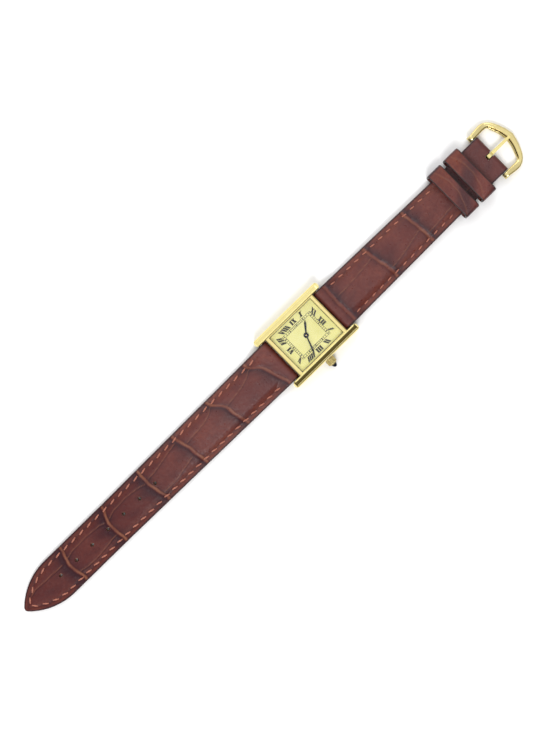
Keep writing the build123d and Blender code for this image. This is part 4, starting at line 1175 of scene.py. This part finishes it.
def keeper(name, node, start, length, floor, body, seed):
    """A band round the strap, its edges rounded and its top pressed a little."""
    half = keeper_half_inner + keeper_wall / 2
    tall = keeper_inner_height / 2 + keeper_wall / 2
    middle = floor + keeper_inner_height / 2
    corner = keeper_corner - keeper_wall / 2
    line = []
    for cx, cz, turn in ((1, 1, 0), (-1, 1, 1), (-1, -1, 2), (1, -1, 3)):
        for share in np.linspace(0, 1, 9):
            angle = (turn + share) * pi / 2
            line.append(
                (
                    cx * (half - corner) + corner * cos(angle),
                    cz * (tall - corner) + corner * sin(angle),
                    cos(angle),
                    sin(angle),
                )
            )
        nx, nz = cos((turn + 1) * pi / 2), sin((turn + 1) * pi / 2)
        long = 2 * (half - corner) if turn in (0, 2) else 2 * (tall - corner)
        x, z = line[-1][:2]
        for share in np.arange(1, 24) / 24:
            run = long * share
            line.append((x - nz * run, z + nx * run, nx, nz))
    rings, shades = [], []
    count = 25
    across = np.linspace(-1, 1, count)
    for x, z, nx, nz in line:
        ring, shade = [], []
        upper = ease(nz, 0.6, 1.0)
        for v in across:
            bend = max(abs(v) - 0.86, 0) / 0.14
            out = keeper_wall / 2 - 0.22 * (1 - np.sqrt(max(1 - bend**2, 0)))
            wave = 0.05 * sin(x * 0.8 + seed + 2.2 * v) + 0.03 * sin(3.1 * v + x * 1.7)
            bent = 0.35 - 0.035 * x - 0.012 * x * x + 0.03 * sin(seed + 1.3 * x)
            crease = np.exp(-(((v - bent) / 0.08) ** 2))
            out += upper * (wave - 0.05 - 0.09 * crease)
            y = start + length * (v + 1) / 2
            ring.append((x + nx * out, y, middle + z + nz * out))
            plum = ease(sin(x * 0.45 + 1.3 * v + seed * 2), -0.8, 1.0)
            rust = 0.8 * upper * (1 - ease(x, -6.0, -0.5))
            # Painted shade: the band's sides and underside, turned away from above, are
            # darkened
            dark = 0.8 * bend + 0.7 * plum * (1 - rust) + 0.4 * (1 - upper)
            shade.append((0.4 * upper * crease, dark, rust))
        for v in across[::-1]:
            bend = max(abs(v) - 0.86, 0) / 0.14
            out = -keeper_wall / 2 + 0.15 * bend**2
            y = start + length * (v + 1) / 2
            ring.append((x + nx * out, y, middle + z + nz * out))
            shade.append((0, 0, 0))
        rings.append(ring)
        shades.append(shade)
    piece = skin(
        name,
        [rings],
        [strap_leather, edge_paint],
        body,
        {0, count - 2, count - 1, 2 * count - 1},
        closed=True,
    )
    pale, dark, rust = np.moveaxis(np.clip(shades, 0, 1), -1, 0)
    shade_points(piece, pale=pale, dark=dark, rust=rust)
    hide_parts(node)


keeper("sliding_keeper", "keeper_free", 62.85, 5.6, 0.85, "keeper_free", -0.34)
keeper("sewn_keeper", "keeper_fixed", 70.15, 5.8, 0.95, "strap_12", 1.0)


# Buckle: a cast frame, gilt and polished, whose two arms take the bar. Its front
# bows out to a slight point, with a groove along its inner lip.
frame_outer = [
    (9.1, buckle_bar_place),
    (9.22, 83.4),
    (9.45, 85.4),
    (9.35, 87.3),
    (8.45, 89.05),
    (6.6, 90.6),
    (3.3, 92.0),
    (0, 92.8),
]
frame_inner = [
    (7.25, buckle_bar_place),
    (7.25, 83.4),
    (7.25, 85.2),
    (7.25, 86.8),
    (6.95, 88.0),
    (5.5, 88.6),
    (2.8, 89.55),
    (0, 90.0),
]


def rounded_run(points, steps):
    """Points along a smooth curve through a row of points."""
    points = np.array(points, float)
    ends = [2 * points[0] - points[1], *points, 2 * points[-1] - points[-2]]
    run = []
    for a, b, c, d in zip(ends, ends[1:], ends[2:], ends[3:]):
        square = 2 * a - 5 * b + 4 * c - d
        cube = 3 * b - a - 3 * c + d
        for share in np.arange(steps) / steps:
            twice = 2 * b + (c - a) * share + square * share**2 + cube * share**3
            run.append(0.5 * twice)
    return np.array([*run, points[-1]])


buckle_bright = (0.86, 0.75, 0.36, 1)
buckle_dull = (0.70, 0.56, 0.25, 1)
buckle_gilt = metal("buckle_gilt", buckle_bright, buckle_dull, 0.07, 0.2, 700)
tree = buckle_gilt.node_tree
# Painted shade: the groove along the lip is darkened brown where shade falls in it
groove_shade_brown = (0.10, 0.055, 0.016, 1)
groove_shade = add_node(tree, "ShaderNodeAttribute", "Fac", {"attribute_name": "groove"})
stain(buckle_gilt, groove_shade, groove_shade_brown)

outer_run = rounded_run(frame_outer, 8)
inner_run = rounded_run(frame_inner, 8)
turns = np.linspace(0.05, pi / 2, 9)[:-1]
lead = buckle_bar_place - buckle_loop_radius * np.cos(turns)
outer_run = np.concatenate([[(frame_outer[0][0], y) for y in lead], outer_run])
inner_run = np.concatenate([[(frame_inner[0][0], y) for y in lead], inner_run])
arm_stop = 87.6
arm_low = [buckle_bar_level - buckle_loop_radius, 0]
arm_high = [buckle_bar_level + buckle_loop_radius, 2.09]
groove_start, groove_full = 87.7, 88.5
frame_rings, frame_shades = [], []
for outer, inner in zip(outer_run, inner_run):
    y = inner[1]
    if y < buckle_bar_place:
        rise = np.sqrt(max(buckle_loop_radius**2 - (buckle_bar_place - y) ** 2, 1e-4))
        low, high = buckle_bar_level - rise, buckle_bar_level + rise
    else:
        low = np.interp(y, [buckle_bar_place, arm_stop], arm_low)
        high = np.interp(y, [buckle_bar_place, arm_stop], arm_high)
    grooved = ease(y, groove_start, groove_full)
    ring, shade = [], []
    for v in np.linspace(0, 1, 41):
        edge = abs(2 * v - 1)
        dome = 0.34 * edge**6 + 0.1 * edge**2
        dip = 0.6 * grooved * np.exp(-(((v - 0.24) / 0.05) ** 2))
        shade.append(grooved * np.exp(-(((v - 0.24) / 0.04) ** 2)))
        lip = 0.3 * grooved * (1 - ease(v, 0.18, 0.26))
        level = max(high - min(dome + dip + lip, (high - low) * 0.48), low + 0.05)
        ring.append((*(inner + (outer - inner) * v), level))
    for v in np.linspace(1, 0, 9):
        edge = abs(2 * v - 1)
        level = low + min(0.3 * edge**4, (high - low) * 0.45)
        ring.append((*(inner + (outer - inner) * v), level))
        shade.append(0)
    frame_rings.append(ring)
    frame_shades.append(shade)
right_rings = np.array(frame_rings)
left_rings = right_rings[:-1][::-1] * np.array([-1, 1, 1])
buckle_rings = np.concatenate([right_rings, left_rings])
buckle = skin(
    "buckle_casting", [buckle_rings], [buckle_gilt], "buckle", sharp=50
)
shade_points(buckle, groove=frame_shades + frame_shades[:-1][::-1])
tip_hole_radius = 0.45
tip_hole_mouth, tip_hole_end = 7.0, 8.25
tip_holes = [
    drum(x0, x1, buckle_bar_place, buckle_bar_level, tip_hole_radius)
    for x0, x1 in ((tip_hole_mouth, tip_hole_end), (-tip_hole_end, -tip_hole_mouth))
]
cut(buckle, tip_holes, buckle_gilt)
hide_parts("buckle_frame")
dress(gilt, "buckle_tongue")
